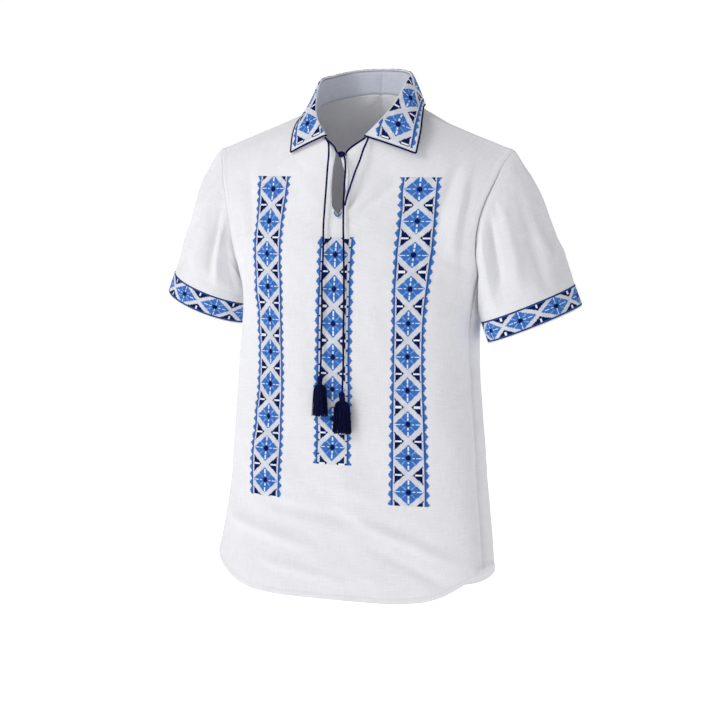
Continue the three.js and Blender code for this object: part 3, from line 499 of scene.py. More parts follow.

# %% [markdown]
# ## Folds
# Worn linen is never smooth. The creases are placed one by one, each as a soft ridge (height above
# 0) or trough between two places on the panel: drag lines from the foot of the slit to the
# shoulder, hollows in front of the armholes, and slack swags above the hem. A cloth simulation
# would spread even small folds everywhere; these stay where the body makes them. Between them
# lies a fine crumple, heights drawn at random on three lattices and smoothed.

# %% Fold tables
FRONT_FOLDS = [  # x and z of one end, x and z of the other, width, height
    (16, -152, 78, -100, 6, 3.4), (28, -156, 88, -108, 5.5, -2.8), (34, -166, 106, -116, 6.5, 2.8),
    (42, -180, 112, -136, 8, -2.4), (168, -92, 146, -190, 9, -6.5),
    (182, -108, 168, -205, 6.5, 6), (192, -140, 176, -300, 7, -6.5),
    (-172, -96, -156, -190, 12, -4.5), (-186, -150, -174, -330, 9, -7),
    (-180, -618, -40, -646, 9, 4.2), (-90, -588, 60, -606, 10, -4.2), (34, -600, 168, -650, 9, 4.4),
    (-120, -672, 20, -694, 8, 2.8), (60, -640, 176, -690, 8, -3),
    # finer creases between the main folds
    (22, -128, 66, -84, 5, -0.9), (30, -168, 84, -128, 7, -0.9), (12, -178, 60, -150, 6, 0.8),
    (-22, -150, -72, -112, 9, 0.8), (-36, -110, -84, -78, 8, -0.7),
    (162, -110, 150, -168, 6, 1.2), (178, -180, 172, -262, 6, 1.4), (168, -230, 160, -330, 9, -1.4),
    (-186, -120, -176, -178, 7, 1.3), (-170, -200, -164, -300, 8, 1.3),
    (-160, -260, -152, -380, 11, -1.2), (160, -360, 150, -470, 12, 1.2),
    (-30, -548, 74, -572, 11, 1.5), (70, -588, 150, -600, 10, 1.3),
    (-150, -600, -74, -622, 10, -1.3),
    (-120, -566, -60, -582, 9, 1.1), (96, -650, 176, -628, 9, -1.3), (-20, -668, 70, -690, 10, 1.4),
    (56, -420, 62, -540, 13, -0.9), (-60, -300, -54, -440, 13, 0.8), (60, -220, 66, -330, 12, 0.8),
]
BACK_FOLDS = [
    (150, -120, 168, -260, 15, -4.5), (-152, -128, -170, -250, 14, -4),
    (55, -200, 64, -520, 20, -4), (-62, -230, -58, -560, 22, -4), (0, -330, 6, -690, 24, 3.5),
    (-140, -610, -30, -650, 16, 3),
    # finer creases between the main folds
    (170, -110, 182, -190, 7, 1.4), (-172, -112, -186, -200, 8, 1.4),
    (120, -150, 138, -300, 9, 1.2), (-118, -160, -134, -290, 10, 1.2),
    (30, -90, 110, -76, 8, -0.9), (-36, -92, -116, -74, 9, -0.9), (28, -260, 34, -480, 9, 1.2),
    (-30, -300, -26, -520, 10, -1.2), (96, -330, 104, -600, 13, 1.6),
    (-104, -350, -100, -590, 14, 1.4), (40, -640, 140, -610, 13, -1.4),
    (150, -400, 156, -560, 12, -1.5), (-60, -560, 20, -590, 12, 1.1),
    (-160, -420, -168, -600, 10, 1.2),
]
SLEEVE_FOLDS = [  # turn at the start and the end, start and end along, width, height
    (0.16, 0.20, 0.1, 0.9, 0.022, 5), (0.22, 0.27, 0.05, 0.8, 0.018, -7),
    (0.285, 0.31, 0.05, 0.95, 0.018, 7), (0.10, 0.12, 0.3, 1, 0.022, -4.5),
    (0.64, 0.66, 0.1, 0.9, 0.03, 4), (0.74, 0.73, 0.1, 0.85, 0.028, -4.5),
    (0.84, 0.83, 0.15, 1, 0.03, 3),
    # finer creases between the main folds
    (0.19, 0.225, 0.25, 0.8, 0.012, 1.2), (0.25, 0.30, 0.2, 0.7, 0.012, 1.3),
    (0.06, 0.08, 0.2, 0.75, 0.018, 1.2), (0.03, 0.05, 0.4, 1, 0.016, -1.0),
    (0.36, 0.38, 0.2, 0.9, 0.018, -1.6), (0.69, 0.70, 0.2, 0.8, 0.014, 1.3),
    (0.79, 0.78, 0.2, 0.8, 0.014, 1.2), (0.93, 0.92, 0.2, 0.9, 0.02, -1.2),
]
FOLD_FADE = 0.3  # a fold fades in and out over this share of its length
FOLD_LIMIT = 0.88  # folds die away beyond this share of a section, towards the seam
LATTICE = 64  # heights along each side of a crumple's lattice
BACK_PATCH = 900  # reads the back's crumple elsewhere on the lattices than the front's
SLEEVE_PATCH = 300


def smoothstep(value, low, high):
    t = np.clip((value - low) / (high - low), 0, 1)
    return t * t * (3 - 2 * t)


crumple_random = np.random.default_rng(21)
CRUMPLES = [  # distance between soft dents, their height, and a lattice of random heights
    (spacing, rise, crumple_random.uniform(-1, 1, (LATTICE, LATTICE)))
    for spacing, rise in ((60, 2.3), (29, 1.15), (13, 0.38))
]


def crumple(x, z):
    """Small soft unevenness of worn linen, in mm."""
    height = np.zeros(np.broadcast(x, z).shape)
    for spacing, rise, lattice in CRUMPLES:
        u, v = 0.9 * x / spacing + 0.35 * z / spacing, z / spacing - 0.3 * x / spacing
        column, row = np.floor(u).astype(int), np.floor(v).astype(int)
        s, t = smoothstep(u - column, 0, 1), smoothstep(v - row, 0, 1)
        corner = [lattice[(row + j) % LATTICE, (column + i) % LATTICE]
                  for j in (0, 1) for i in (0, 1)]
        height += rise * ((corner[0] * (1 - s) + corner[1] * s) * (1 - t)
                          + (corner[2] * (1 - s) + corner[3] * s) * t)
    return height


def fold_relief(folds, x, z):
    """Height of a panel's folds at places on it."""
    height = np.zeros_like(x)
    for x0, z0, x1, z1, width, rise in folds:
        length = math.hypot(x1 - x0, z1 - z0)
        along = ((x - x0) * (x1 - x0) + (z - z0) * (z1 - z0)) / length ** 2
        across = ((x - x0) * (z1 - z0) - (z - z0) * (x1 - x0)) / length
        fade = smoothstep(along, -FOLD_FADE, FOLD_FADE)
        fade = fade * (1 - smoothstep(along, 1 - FOLD_FADE, 1 + FOLD_FADE))
        height += rise * fade * np.exp(-(across / width) ** 2)
    return height


# %% [markdown]
# ## Body surfaces
# One function gives any point of the front or the back from two numbers: how far down the
# panel it lies, and how far out. The cloth meshes, the stitched strips and the rows of seam
# stitches all ask this function, so they agree with each other wherever they meet.

# %% Body surface
PANELS = {  # inner ends on the left and the right, armhole, folds, direction of its outside
    "front": ({1: FRONT_MIDDLE, -1: FRONT_MIDDLE_RIGHT}, ARMHOLE_FRONT, FRONT_FOLDS, -1.0),
    "back": ({1: BACK_MIDDLE, -1: BACK_MIDDLE}, ARMHOLE_BACK, BACK_FOLDS, 1.0),
}
SEAMS = {1: SIDE_SEAM,
         -1: [(x + extra, y, z) for (x, y, z), extra in zip(SIDE_SEAM, SIDE_OUT_RIGHT)]}


def outer_end(armhole, place, side):
    """The outer end of a section: armhole above the underarm, side seam below it."""
    place = np.asarray(place, float)
    upper = read_rows(armhole, place)
    lower = read_rows([armhole[UNDERARM], *SEAMS[side]], place - UNDERARM)
    below = np.maximum(place - UNDERARM, 0) / len(SIDE_SEAM)
    lower[..., 1] -= side * SEAM_TWIST * below ** 2
    return np.where((place < UNDERARM)[..., None], upper, lower)


def panel_ends(panel, side, place):
    """The inner and the outer ends of sections."""
    middles, armhole = PANELS[panel][:2]
    middle = read_rows(middles[side], place)
    if panel == "front":  # the foot of the slit is cut round, not to a point
        share = np.clip(place - SLIT_LAST, 0, 1)
        foot = middles[side][SLIT_LAST][0] * (1 - share ** 3.2)
        middle[..., 0] = np.where((share > 0) & (share < 1), foot, middle[..., 0])
    middle[..., 0] = np.maximum(middle[..., 0], 0)
    return middle, outer_end(armhole, place, side)


def panel_point(panel, side, place, out):
    """Points of a panel; place counts sections from the shoulder, out runs 0 to 1."""
    place, out = np.broadcast_arrays(np.asarray(place, float), np.asarray(out, float))
    middle, outer = panel_ends(panel, side, place)
    shape = read_rows(SECTION_SHAPE, place)
    q = np.clip(out, 0, 1)
    power = SECTION_POWER[panel]
    curve = 1 - (1 - q ** power) ** (1 / power)
    soft = (panel == "back") * BACK_ROUND * smoothstep(place, 1.5, 3.5)
    share = (np.hypot(q, soft) - soft) / (np.hypot(1, soft) - soft)
    blend = share + (curve - share) * shape[..., 0]
    # Depth follows the rounded-square curve, and height changes late along the section.
    x = middle[..., 0] + (outer[..., 0] - middle[..., 0]) * q
    y = middle[..., 1] + (outer[..., 1] - middle[..., 1]) * blend
    z = middle[..., 2] + (outer[..., 2] - middle[..., 2]) * q ** shape[..., 1]
    # Folds and crumples push the cloth out, and die away towards the seams.
    relief = fold_relief(PANELS[panel][2], side * x, z)
    relief += crumple(side * x, z + BACK_PATCH * (panel == "back"))
    relief = relief * (1 - smoothstep(q, FOLD_LIMIT, 1)) * smoothstep(place, 0, 2)
    outward = unit(np.stack([q ** 3, PANELS[panel][3] * (1 - q ** 3)], axis=-1))
    x = (x + relief * outward[..., 0]) * side
    return np.stack([x, y + relief * outward[..., 1], z], axis=-1)


def facing(panel, side):
    """1 where a grid of rows down and columns outwards already faces out, -1 where it faces in."""
    return 1 if (side > 0) == (panel == "front") else -1


def panel_out(panel, side, place, x):
    """How far out a distance x from the centre line lies on a section."""
    middle, outer = panel_ends(panel, side, place)
    return (x - middle[..., 0]) / (outer[..., 0] - middle[..., 0])


# %% [markdown]
# ## Cloth meshes
# Each panel is a fine grid of points on its surface. Rows and columns crowd together near the
# edges, where the cloth rolls down into a seam and where the hem is turned and stitched. The
# Solidify modifier then gives the thin shell its real thickness towards the inside.


# %% Cloth helpers
CLOTH_STEP = 3.6  # mm from one point of the cloth to the next, away from its edges
EDGE_STEPS = np.array([0, 0.8, 1.8, 3.2, 5.0, 6.2, 7.0, 8.0, 9.2, 11.0])  # and from an edge inwards


def crowded(length, edge_first=True, edge_last=True):
    """Shares from 0 to 1 about one step apart, with closer ones near the chosen ends."""
    reach = EDGE_STEPS[-1] + CLOTH_STEP / 3
    parts = [np.linspace(0, length, int(round(length / CLOTH_STEP)) + 1)]
    if edge_first:
        parts = [EDGE_STEPS] + [p[p > reach] for p in parts]
    if edge_last:
        parts = [p[p < length - reach] for p in parts] + [length - EDGE_STEPS]
    return np.unique(np.round(np.concatenate(parts), 3)) / length


def grid_normals(points):
    """Outward normals of a grid whose rows run down and columns to the right."""
    down = np.gradient(points, axis=0)
    right = np.gradient(points, axis=1)
    return unit(np.cross(down, right))


def grid_faces(rows, columns, start=0):
    """Four-sided faces of a grid of points."""
    corner = start + np.arange(rows * columns).reshape(rows, columns)
    return np.stack([corner[:-1, :-1], corner[1:, :-1], corner[1:, 1:], corner[:-1, 1:]],
                    axis=-1).reshape(-1, 4)


def cloth_object(name, grids, materials, thickness):
    """One thin shell from grids of (points, uv), joined where their edges coincide."""
    vertices, faces, places = [], [], []
    count = 0
    for points, uv in grids:
        faces.append(grid_faces(*points.shape[:2], start=count))
        vertices.append(points.reshape(-1, 3))
        places.append(uv.reshape(-1, 2))
        count += points.shape[0] * points.shape[1]
    cloth = mesh_object(name, np.concatenate(vertices), np.concatenate(faces), materials,
                        uv=np.concatenate(places))
    weld = cloth.modifiers.new("join edges", "WELD")
    weld.merge_threshold = 0.02 * MM
    shell = cloth.modifiers.new("thickness", "SOLIDIFY")
    shell.thickness = thickness * MM
    shell.offset = -1
    return cloth


def seam_roll(distance):
    """Cloth dips into a seam and stands up slightly beside it, in mm."""
    return -0.7 * np.exp(-(distance / 1.3) ** 2) + 0.25 * np.exp(-((distance - 4) / 2.2) ** 2)


def turned_hem(distance, width=7.0):
    """A turned hem is twice as thick, with a small dip at its row of stitches, in mm."""
    raised = 0.8 * (1 - smoothstep(distance, width - 0.6, width + 0.9))
    return raised - 0.4 * np.exp(-((distance - width + 0.9) / 0.7) ** 2)


def pressed_seam(distance, width=8.5):
    """Seam allowances pressed to one side and stitched down make a flat raised strip, in mm."""
    raised = smoothstep(distance, 0.6, 1.8) * (1 - smoothstep(distance, width - 0.8, width + 0.8))
    return 0.75 * raised


def row_distances(points):
    """For every grid point, its distance along its row from the last column."""
    steps = np.linalg.norm(np.diff(points, axis=1), axis=2)
    run = np.cumsum(steps[:, ::-1], axis=1)[:, ::-1]
    return np.concatenate([run, np.zeros((len(points), 1))], axis=1)


def column_distances(points):
    """The same down its column, from the last row."""
    return np.swapaxes(row_distances(np.swapaxes(points, 0, 1)), 0, 1)


# %% [markdown]
# ## Front and back
# Each panel is cut on the fold, so it is made as two mirrored halves that are welded along the
# middle. The side and shoulder edges roll into their seams, the armhole edge carries the pressed
# seam allowances, and the lower edge is turned up and stitched.

# %% Front and back panels
PANEL_HALF = 222  # mm of a half panel's width, as it is worn
PANEL_CLOTH = 225  # and of its cloth, laid flat


def half_panel(panel, side):
    """Grid of one half of a panel, with its seams and hem formed."""
    fine = np.linspace(0, HEM, 600)
    run = lengths_along(panel_point(panel, 1, fine, 0.55))
    rows = crowded(run[-1])
    place = np.interp(rows * run[-1], run, fine)
    out = crowded(PANEL_HALF, edge_first=False)
    points = panel_point(panel, side, place[:, None], out[None, :])
    from_side, from_hem = row_distances(points), column_distances(points)
    above_underarm = 1 - smoothstep(place, UNDERARM - 0.6, UNDERARM)[:, None]
    relief = seam_roll(from_side) + turned_hem(from_hem) + seam_roll(from_hem[:1] - from_hem)
    relief += pressed_seam(from_side) * above_underarm
    points = points + grid_normals(points) * facing(panel, side) * relief[..., None]
    uv = np.stack(np.meshgrid(side * out * PANEL_CLOTH, -run[-1] * rows), axis=-1)
    return (points, uv) if facing(panel, side) > 0 else (points[:, ::-1], uv[:, ::-1])


body = {}
for panel in ("front", "back"):
    body[panel] = cloth_object(f"{panel}_panel", [half_panel(panel, 1), half_panel(panel, -1)],
                               [white_linen], LINEN)
    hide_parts(panel)
    print(panel, len(body[panel].data.polygons), "faces")

# %% [markdown]
# ## Sleeves
# A set-in sleeve starts on the armhole, comes over the top of the arm and falls along it to a
# straight mouth. Each line of cloth is a Hermite curve: it leaves the armhole the way the cap
# stands and arrives along the arm. The band zone at the mouth is flat and firm.

# %% Sleeves
SLEEVE_TILT = math.radians(21)
SLEEVE_AXIS = np.array([math.sin(SLEEVE_TILT), 0, -math.cos(SLEEVE_TILT)])
SLEEVE_OUT = np.array([math.cos(SLEEVE_TILT), 0, math.sin(SLEEVE_TILT)])
CAP_SLOPE = math.radians(46)
CAP_OUT = np.array([math.cos(CAP_SLOPE), 0, -math.sin(CAP_SLOPE)])
UNDERARM_SPREAD = {1: 0.34, -1: 0.6}  # how far the underarm stands out, left and right
ARM_ROUND = 0.25  # how much the front and back bulge round the arm
# The mouths: centre, half width across and front to back, and how much lower the front hangs.
MOUTHS = {
    1: (np.array([269.0, 13.6, -316.0]), 73.5, 62.0, 9.5),
    -1: (np.array([268.0, 14.0, -305.0]), 70.0, 62.0, 2.5),
}
BAND_WIDTH = 31
BAND_HEM = 2  # plain cloth below the band
BAND_ROWS = [31, 27, 23, 19, 15, 11, 7, 4, 2, 0.8, 0]  # rows of cloth above the mouth
SLEEVE_GIRTH = 415
SLEEVE_LENGTH = 215  # from the armhole to the band
MIRROR = {1: np.array([1.0, 1, 1]), -1: np.array([-1.0, 1, 1])}


def mouth_point(turn, back, side, mirrored=True):
    """Points `back` millimetres above the sleeve mouth; turn 0 is the outside, 0.25 the front."""
    centre, half_across, half_deep, drop = MOUTHS[side]
    angle = 2 * np.pi * np.asarray(turn, float)[..., None]
    point = centre - SLEEVE_AXIS * np.asarray(back, float)[..., None]
    point = point + SLEEVE_OUT * half_across * np.cos(angle)
    point = point - np.array([0, half_deep, drop]) * np.sin(angle)
    return point * MIRROR[side] if mirrored else point


def sleeve_point(turn, along, side):
    """Points between the armhole (along 0) and the top of the band (along 1)."""
    turn, along = np.broadcast_arrays(np.asarray(turn, float), np.asarray(along, float))
    front = outer_end(ARMHOLE_FRONT, 2 * UNDERARM * turn, side)
    back = outer_end(ARMHOLE_BACK, 2 * UNDERARM * (1 - turn), side)
    start = np.where((turn <= 0.5)[..., None], front, back)
    end = mouth_point(turn, np.full(turn.shape, BAND_WIDTH + BAND_HEM), side, mirrored=False)
    span = np.linalg.norm(end - start, axis=-1, keepdims=True)
    cosine = np.cos(2 * np.pi * turn)[..., None]
    sine = np.sin(2 * np.pi * turn)[..., None]
    # The line of cloth leaves the armhole in the direction `leave` and arrives along the arm.
    cap = np.maximum(0, cosine) ** 1.5
    leave = unit(end - start) * (1 - cap) + CAP_OUT * cap
    leave = leave + np.array([UNDERARM_SPREAD[side], 0, 0]) * np.maximum(0, -cosine)
    leave = unit(leave - np.array([0, ARM_ROUND, 0]) * sine)
    t = along[..., None]
    point = start * (2 * t ** 3 - 3 * t ** 2 + 1) + leave * span * (t ** 3 - 2 * t ** 2 + t)
    point = point + end * (3 * t ** 2 - 2 * t ** 3) + SLEEVE_AXIS * span * (t ** 3 - t ** 2)
    height = crumple(SLEEVE_GIRTH * np.abs(turn - 0.5) * 2,
                     SLEEVE_LENGTH * along + SLEEVE_PATCH * side)
    height = height * smoothstep(along, 0, 0.12) * (1 - smoothstep(along, 0.86, 1))
    for turn0, turn1, begin, finish, width, rise in SLEEVE_FOLDS:
        share = (along - begin) / (finish - begin)
        centre = turn0 + (turn1 - turn0) * np.clip(share, 0, 1)
        fade = smoothstep(share, 0, 0.35) * (1 - smoothstep(share, 0.7, 1))
        height += rise * fade * np.exp(-((turn - centre) / width) ** 2)
    outward = SLEEVE_OUT * cosine - np.array([0, 1, 0]) * sine
    return (point + outward * height[..., None]) * MIRROR[side]


def sleeve_grid(side):
    """Grid of a sleeve, with its armhole edge rolled into the seam."""
    turns = np.linspace(0, 1, 121)
    along = crowded(SLEEVE_LENGTH, edge_last=False)
    points = np.concatenate([sleeve_point(turns[None, :], along[:, None], side),
                             mouth_point(*np.meshgrid(turns, BAND_ROWS), side)])
    from_mouth = column_distances(points)
    relief = seam_roll(from_mouth[:1] - from_mouth) * 0.6
    points = points - grid_normals(points) * side * relief[..., None]
    uv = np.stack(np.broadcast_arrays(turns * SLEEVE_GIRTH, from_mouth), axis=-1)
    return (points[:, ::-1], uv[:, ::-1]) if side > 0 else (points, uv)


SIDES = {"left": 1, "right": -1}
sleeves = {}
for name, side in SIDES.items():
    sleeves[name] = cloth_object(f"sleeve_{name}_cloth", [sleeve_grid(side)], [white_linen], LINEN)
    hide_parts(f"sleeve_{name}")
    print("sleeve", name, len(sleeves[name].data.polygons), "faces")

# %% [markdown]
# ## Collar
# The collar is two layers of linen: a stand that rises from the neck seam, and a leaf that
# turns over it and falls to long points. Each section of the leaf is a short smooth curve over
# the top of the stand and down to the outer edge, with a slight crown, because a real leaf
# springs away from the shirt below it.

# %% Collar
COLLAR_ROLL = [
    (34, -66, -43), (56, -53, -18), (69, -31, 8), (73, -3, 37), (63, 34, 46), (38, 60, 53),
    (0, 70, 55),
]
COLLAR_EDGE = [
    (104, -59, -67), (105, -44, -38), (101, -26, -17), (90, 8, 0), (77, 44, 5), (47, 74, 5),
    (0, 87, 5),
]
# On the wearer's right the collar lies a little closer to the neck.
COLLAR_ROLL_RIGHT = [(30.5, -66, -43), (51, -53, -18), (63.5, -31, 8), (68.5, -3, 37),
                     (61, 34, 46), *COLLAR_ROLL[5:]]
COLLAR_EDGE_RIGHT = [(96.5, -59, -66), (99, -44, -38), (96, -26, -17), (87, 8, 0),
                     *COLLAR_EDGE[4:]]
COLLAR_SWAY = 6  # mm that the whole outer edge has slipped to the wearer's left, at the front
COLLAR_CLOTH = 1.8  # two layers of linen
BACK_CENTRE = 6  # sections run 0 to 12 round the neck, 6 at the centre back
NECK_CORNER = 3  # the section at the shoulder seam
ROLL_SECTION = [(-1.8, 0.7), (0.2, 1.8), (2.8, 0.3)]  # outward and up from the roll line, mm
FALL_SECTION = [(0.36, 1.0), (0.7, 0.7), (1.0, 0.0)]  # shares of the fall and of its crown
FALL_CROWN = 2.2


def collar_section(place):
    """Neck seam, roll line and outer edge points of sections round the neck."""
    place = np.asarray(place, float)
    half = np.minimum(place, 2 * BACK_CENTRE - place)
    on_left = (place <= BACK_CENTRE)[..., None]

    def read(left, right, row):
        line = np.where(on_left, read_rows(left, row), read_rows(right, row))
        return line * np.where(on_left, MIRROR[1], MIRROR[-1])

    neck = np.where((half < NECK_CORNER)[..., None],
                    read(FRONT_MIDDLE, FRONT_MIDDLE_RIGHT, NECK_CORNER - half),
                    read(BACK_MIDDLE, BACK_MIDDLE, half - NECK_CORNER))
    roll = read(COLLAR_ROLL, COLLAR_ROLL_RIGHT, half)
    edge = read(COLLAR_EDGE, COLLAR_EDGE_RIGHT, half)
    edge[..., 0] += COLLAR_SWAY * (1 - half / BACK_CENTRE)
    return neck, roll, edge


def leaf_point(place, down):
    """Points of the leaf's upper face; down is 0 inside the roll and 1 at the outer edge."""
    place, down = np.broadcast_arrays(np.asarray(place, float), np.asarray(down, float))
    neck, roll, edge = collar_section(place)
    up = unit(roll - neck)
    out = edge - roll
    out = unit(out - up * (out * up).sum(axis=-1, keepdims=True))
    # Stations over the roll and down the fall, then a smooth curve from one to the next.
    swell = out * FALL_CROWN + up
    stations = [roll + out * outward + up * upward for outward, upward in ROLL_SECTION]
    stations += [roll + (edge - roll) * share + swell * crown for share, crown in FALL_SECTION]
    stations = np.stack(stations, axis=-2)
    lengths = np.linalg.norm(np.diff(stations, axis=-2), axis=-1)
    run = np.concatenate([np.zeros((*lengths.shape[:-1], 1)), np.cumsum(lengths, axis=-1)], axis=-1)
    target = down * run[..., -1]
    station = np.zeros_like(down)
    for k in range(lengths.shape[-1]):
        share = np.clip((target - run[..., k]) / lengths[..., k], 0, 1)
        station = np.where(target >= run[..., k], k + share, station)
    last = stations.shape[-2] - 1
    row = np.minimum(np.floor(station).astype(int), last - 1)
    a, b, c, d = (
        np.take_along_axis(stations, np.clip(row + k, 0, last)[..., None, None], axis=-2)[..., 0, :]
        for k in (-1, 0, 1, 2))
    return catmull_rom(a, b, c, d, (station - row)[..., None])


leaf_places = np.linspace(0, 2 * BACK_CENTRE, 181)
leaf_downs = np.concatenate([np.linspace(0, 0.12, 6), np.linspace(0.15, 0.97, 24), [0.985, 1]])
leaf_grid = leaf_point(leaf_places[None, :], leaf_downs[:, None])
leaf_run = lengths_along(leaf_grid[len(leaf_downs) // 2])
leaf_widths = np.linalg.norm(np.diff(leaf_grid, axis=0), axis=2).sum(axis=0)


def collar_uv(heights, shares):
    """Cloth places of a grid that hangs from a line round the neck."""
    return np.stack(np.broadcast_arrays(leaf_run, -heights * shares[:, None]), axis=-1)


collar_leaf = cloth_object("collar_leaf", [(leaf_grid, collar_uv(leaf_widths, leaf_downs))],
                           [collar_linen], COLLAR_CLOTH)
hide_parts("collar")

neck, roll, _ = collar_section(leaf_places)
rise = unit(roll - neck)
# The stand ends a little below the roll and just above the neck seam.
stand_top, stand_foot = roll - 1.6 * rise, neck + 0.3 * rise
stand_shares = np.linspace(0, 1, 9)
down = stand_shares[:, None, None]
stand_grid = stand_top * (1 - down) + stand_foot * down
stand_heights = np.linalg.norm(stand_top - stand_foot, axis=1)
collar_stand = cloth_object("collar_neckband",
                            [(stand_grid, collar_uv(stand_heights, stand_shares))],
                            [neckband_linen], LINEN)
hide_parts("collar_stand")
print("leaf width", leaf_widths.min().round(), "to", leaf_widths.max().round(), "mm")

# %% [markdown]
# ## Counted stitches
# The ornament is a traditional one of diamonds with an eight-rayed star, between navy half
# diamonds and a saw-toothed border. Such work is charted on squared paper and counted on the
# threads of the cloth. The chart is worked out here from the sizes of one repeat, so every
# square of the grid asks which part of the motif it lies in and takes that thread's colour.
#
# Each stitch is a small pillow: four corners close to the cloth and a raised middle. It shades
# like floss does, which a flat printed pattern would not. Squares are 1.25 mm, a little coarser
# than real ones, which is as fine as the whole can show.
#
# In a motif, "diamond" is its half width and half height, "half_diamond" the places of its point
# and base and half its length, "frame" and "line" the inner and outer edge of the border line,
# and "tip" and "tooth" the saw-teeth's reach and pitch, all in mm from the strip's middle.

# %% Chart of the ornament
STITCH = 1.25
THREAD_ORDER = ["white", "bright", "sky", "blue", "royal", "navy"]
EMPTY = -1
WHITE, BRIGHT, SKY, BLUE, ROYAL, NAVY = range(6)
STRIP_MOTIF = {
    "repeat": 47.4, "diamond": (22.4, 19.3), "core": 3.9,
    "half_diamond": (6.6, 20.8, 12.0), "frame": 23.8, "line": 26.3, "tip": 31.2, "tooth": 13.55,
}


RAY = 0.63  # half the width of a straight ray, which is one square wide
SLANT_RAY = 0.443
LEVEL_RAY = np.array([(5.4, 9.4), (12.2, 19.4)])  # its two white lengths, for a diamond of
CHARTED_HALF = 21.2  # this half width; a narrower one squeezes them
PLUMB_RAY = np.array([(5.2, 8.6), (10.6, 16.8)])


def on_lengths(distance, lengths):
    return np.logical_or.reduce([(distance > start) & (distance < end) for start, end in lengths])


def chart(across, along, motif):
    """Thread number of each square; across 0 is the middle, along 0 lies between diamonds."""
    repeat = motif["repeat"]
    a = np.abs(across)  # from the strip's middle
    b = np.abs(np.mod(along, repeat) - repeat / 2)  # from the nearest star
    w = repeat / 2 - b  # from the nearest crossing
    half_across, half_along = motif["diamond"]
    point, base, spread = motif["half_diamond"]
    frame_line = (a > motif["frame"]) & (a < motif["line"])
    thread = np.full(a.shape, WHITE)
    diamond = a / half_across + b / half_along < 1
    thread[diamond] = BLUE
    # The star: four slanting rays, two level and two plumb ones, and its core.
    slant = np.abs(a * half_along - b * half_across) < SLANT_RAY * (half_across + half_along)
    thread[diamond & slant & (np.hypot(a, b) > 6.0)] = SKY
    thread[(b < RAY) & on_lengths(a, LEVEL_RAY * (half_across / CHARTED_HALF))] = BRIGHT
    thread[(a < RAY) & on_lengths(b, PLUMB_RAY)] = BRIGHT
    thread[np.hypot(a, b) < motif["core"]] = NAVY
    # The half diamonds, each with a white line along its middle, and navy dots beside them.
    thread[(a > point) & (a < base) & (w < spread * (a - point) / (base - point) + 0.3)] = NAVY
    thread[(w < 1.3) & (a > point + 3.0) & (a < base)] = BRIGHT
    if "dots" in motif:
        dot_across, dot_along = motif["dots"]
        thread[(np.abs(a - dot_across) < STITCH)
               & ((w < STITCH) | (np.abs(w - dot_along) < STITCH))] = NAVY
    else:
        thread[(w < 1.0) & (a > base) & (a < base + 1.6)] = NAVY
        thread[(np.abs(w - spread) < 0.9) & (np.abs(a - base - 0.6) < 0.9)] = NAVY
    # The border line and its saw-teeth.
    thread[a > motif["frame"]] = EMPTY
    thread[frame_line] = motif.get("edge", ROYAL)
    if "tip" in motif:
        saw = 1 - np.abs(2 * np.mod(along / motif["tooth"], 1) - 1)
        out = a - motif["line"]
        thread[(out >= 0) & (out < (motif["tip"] - motif["line"]) * saw)] = BLUE
    return thread


def square_edges(start, end):
    return np.linspace(start, end, int(round(abs(end - start) / STITCH)) + 1)


def square_centres(across, along):
    return np.meshgrid((across[:-1] + across[1:]) / 2, (along[:-1] + along[1:]) / 2)


def stitched_object(name, surface, across, along, threads, lift=0.12, height=0.75):
    """Pillows of thread on a surface; across and along are the square edges in mm."""
    def on_surface(s, t, off):
        step = 0.4
        right = surface(s + step, t) - surface(s - step, t)
        down = surface(s, t + step) - surface(s, t - step)
        return surface(s, t) + unit(np.cross(down, right)) * off

    corners = on_surface(*np.meshgrid(across, along), lift)
    middles = on_surface(*square_centres(across, along), height)
    worked = threads != EMPTY
    rows, columns = corners.shape[:2]
    index = np.arange(rows * columns).reshape(rows, columns)
    middle_index = rows * columns + np.arange(threads.size).reshape(threads.shape)
    a, b = index[:-1, :-1][worked], index[1:, :-1][worked]
    c, d = index[1:, 1:][worked], index[:-1, 1:][worked]
    m = middle_index[worked]
    faces = np.stack([np.stack(f, axis=1) for f in ((a, b, m), (b, c, m), (c, d, m), (d, a, m))],
                     axis=1).reshape(-1, 3)
    vertices = np.concatenate([corners.reshape(-1, 3), middles.reshape(-1, 3)])
    used, inverse = np.unique(faces, return_inverse=True)
    piece = mesh_object(name, vertices[used], inverse.reshape(-1, 3),
                        [THREADS[key] for key in THREAD_ORDER],
                        face_materials=np.repeat(threads[worked], 4), smooth=False)
    print(name, int(worked.sum()), "stitches")
    return piece


# %% [markdown]
# ## Strips on the front
# Three strips are worked on the front before it is sewn up: one down each side and a shorter
# one below the slit. They widen and narrow with the cloth, so a strip's surface is read from the
# panel: across it from the section tables, down it by height.

# %% Strips on the front
STRIP_INNER = 88  # mm from the middle of the front to the inner edge of a side strip
# Counted by eye and hand, the stars stand at slightly uneven places, in mm below the top.
STRIPS = {  # side, top, bottom, one repeat, teeth to a repeat, places of the stars
    "embroidery_left": (1, -103, -577, 48.84, 3.5,
                        [17.2, 62.7, 111.6, 159.8, 209.7, 258.1, 306.3, 355.2, 404.4, 453.9]),
    "embroidery_right": (-1, -103, -577, 48.0, 4,
                         [18.5, 66.5, 114.5, 162.5, 210.5, 258.5, 306.5, 354.5, 402.5, 450.5]),
    "embroidery_centre": (0, -190, -522, 47.43, 3.5,
                          [25.4, 75.4, 125.6, 175.1, 221.7, 264.6, 306.9]),
}
# The strip on the wearer's right wanders a little: mm towards the middle, one for each section.
STRIP_SWAY = [0, 0, 0, 0, 0, -1.5, -5, -5.5, -4, -0.5, 3.5, 6.5, 4.5, 3, 3, 3]
STRIP_HALF = 31.0
CENTRE_MOTIF = {"diamond": (20.6, 20.6), "half_diamond": (7.6, 19.4, 11.0), "dots": (21.9, 13.2)}


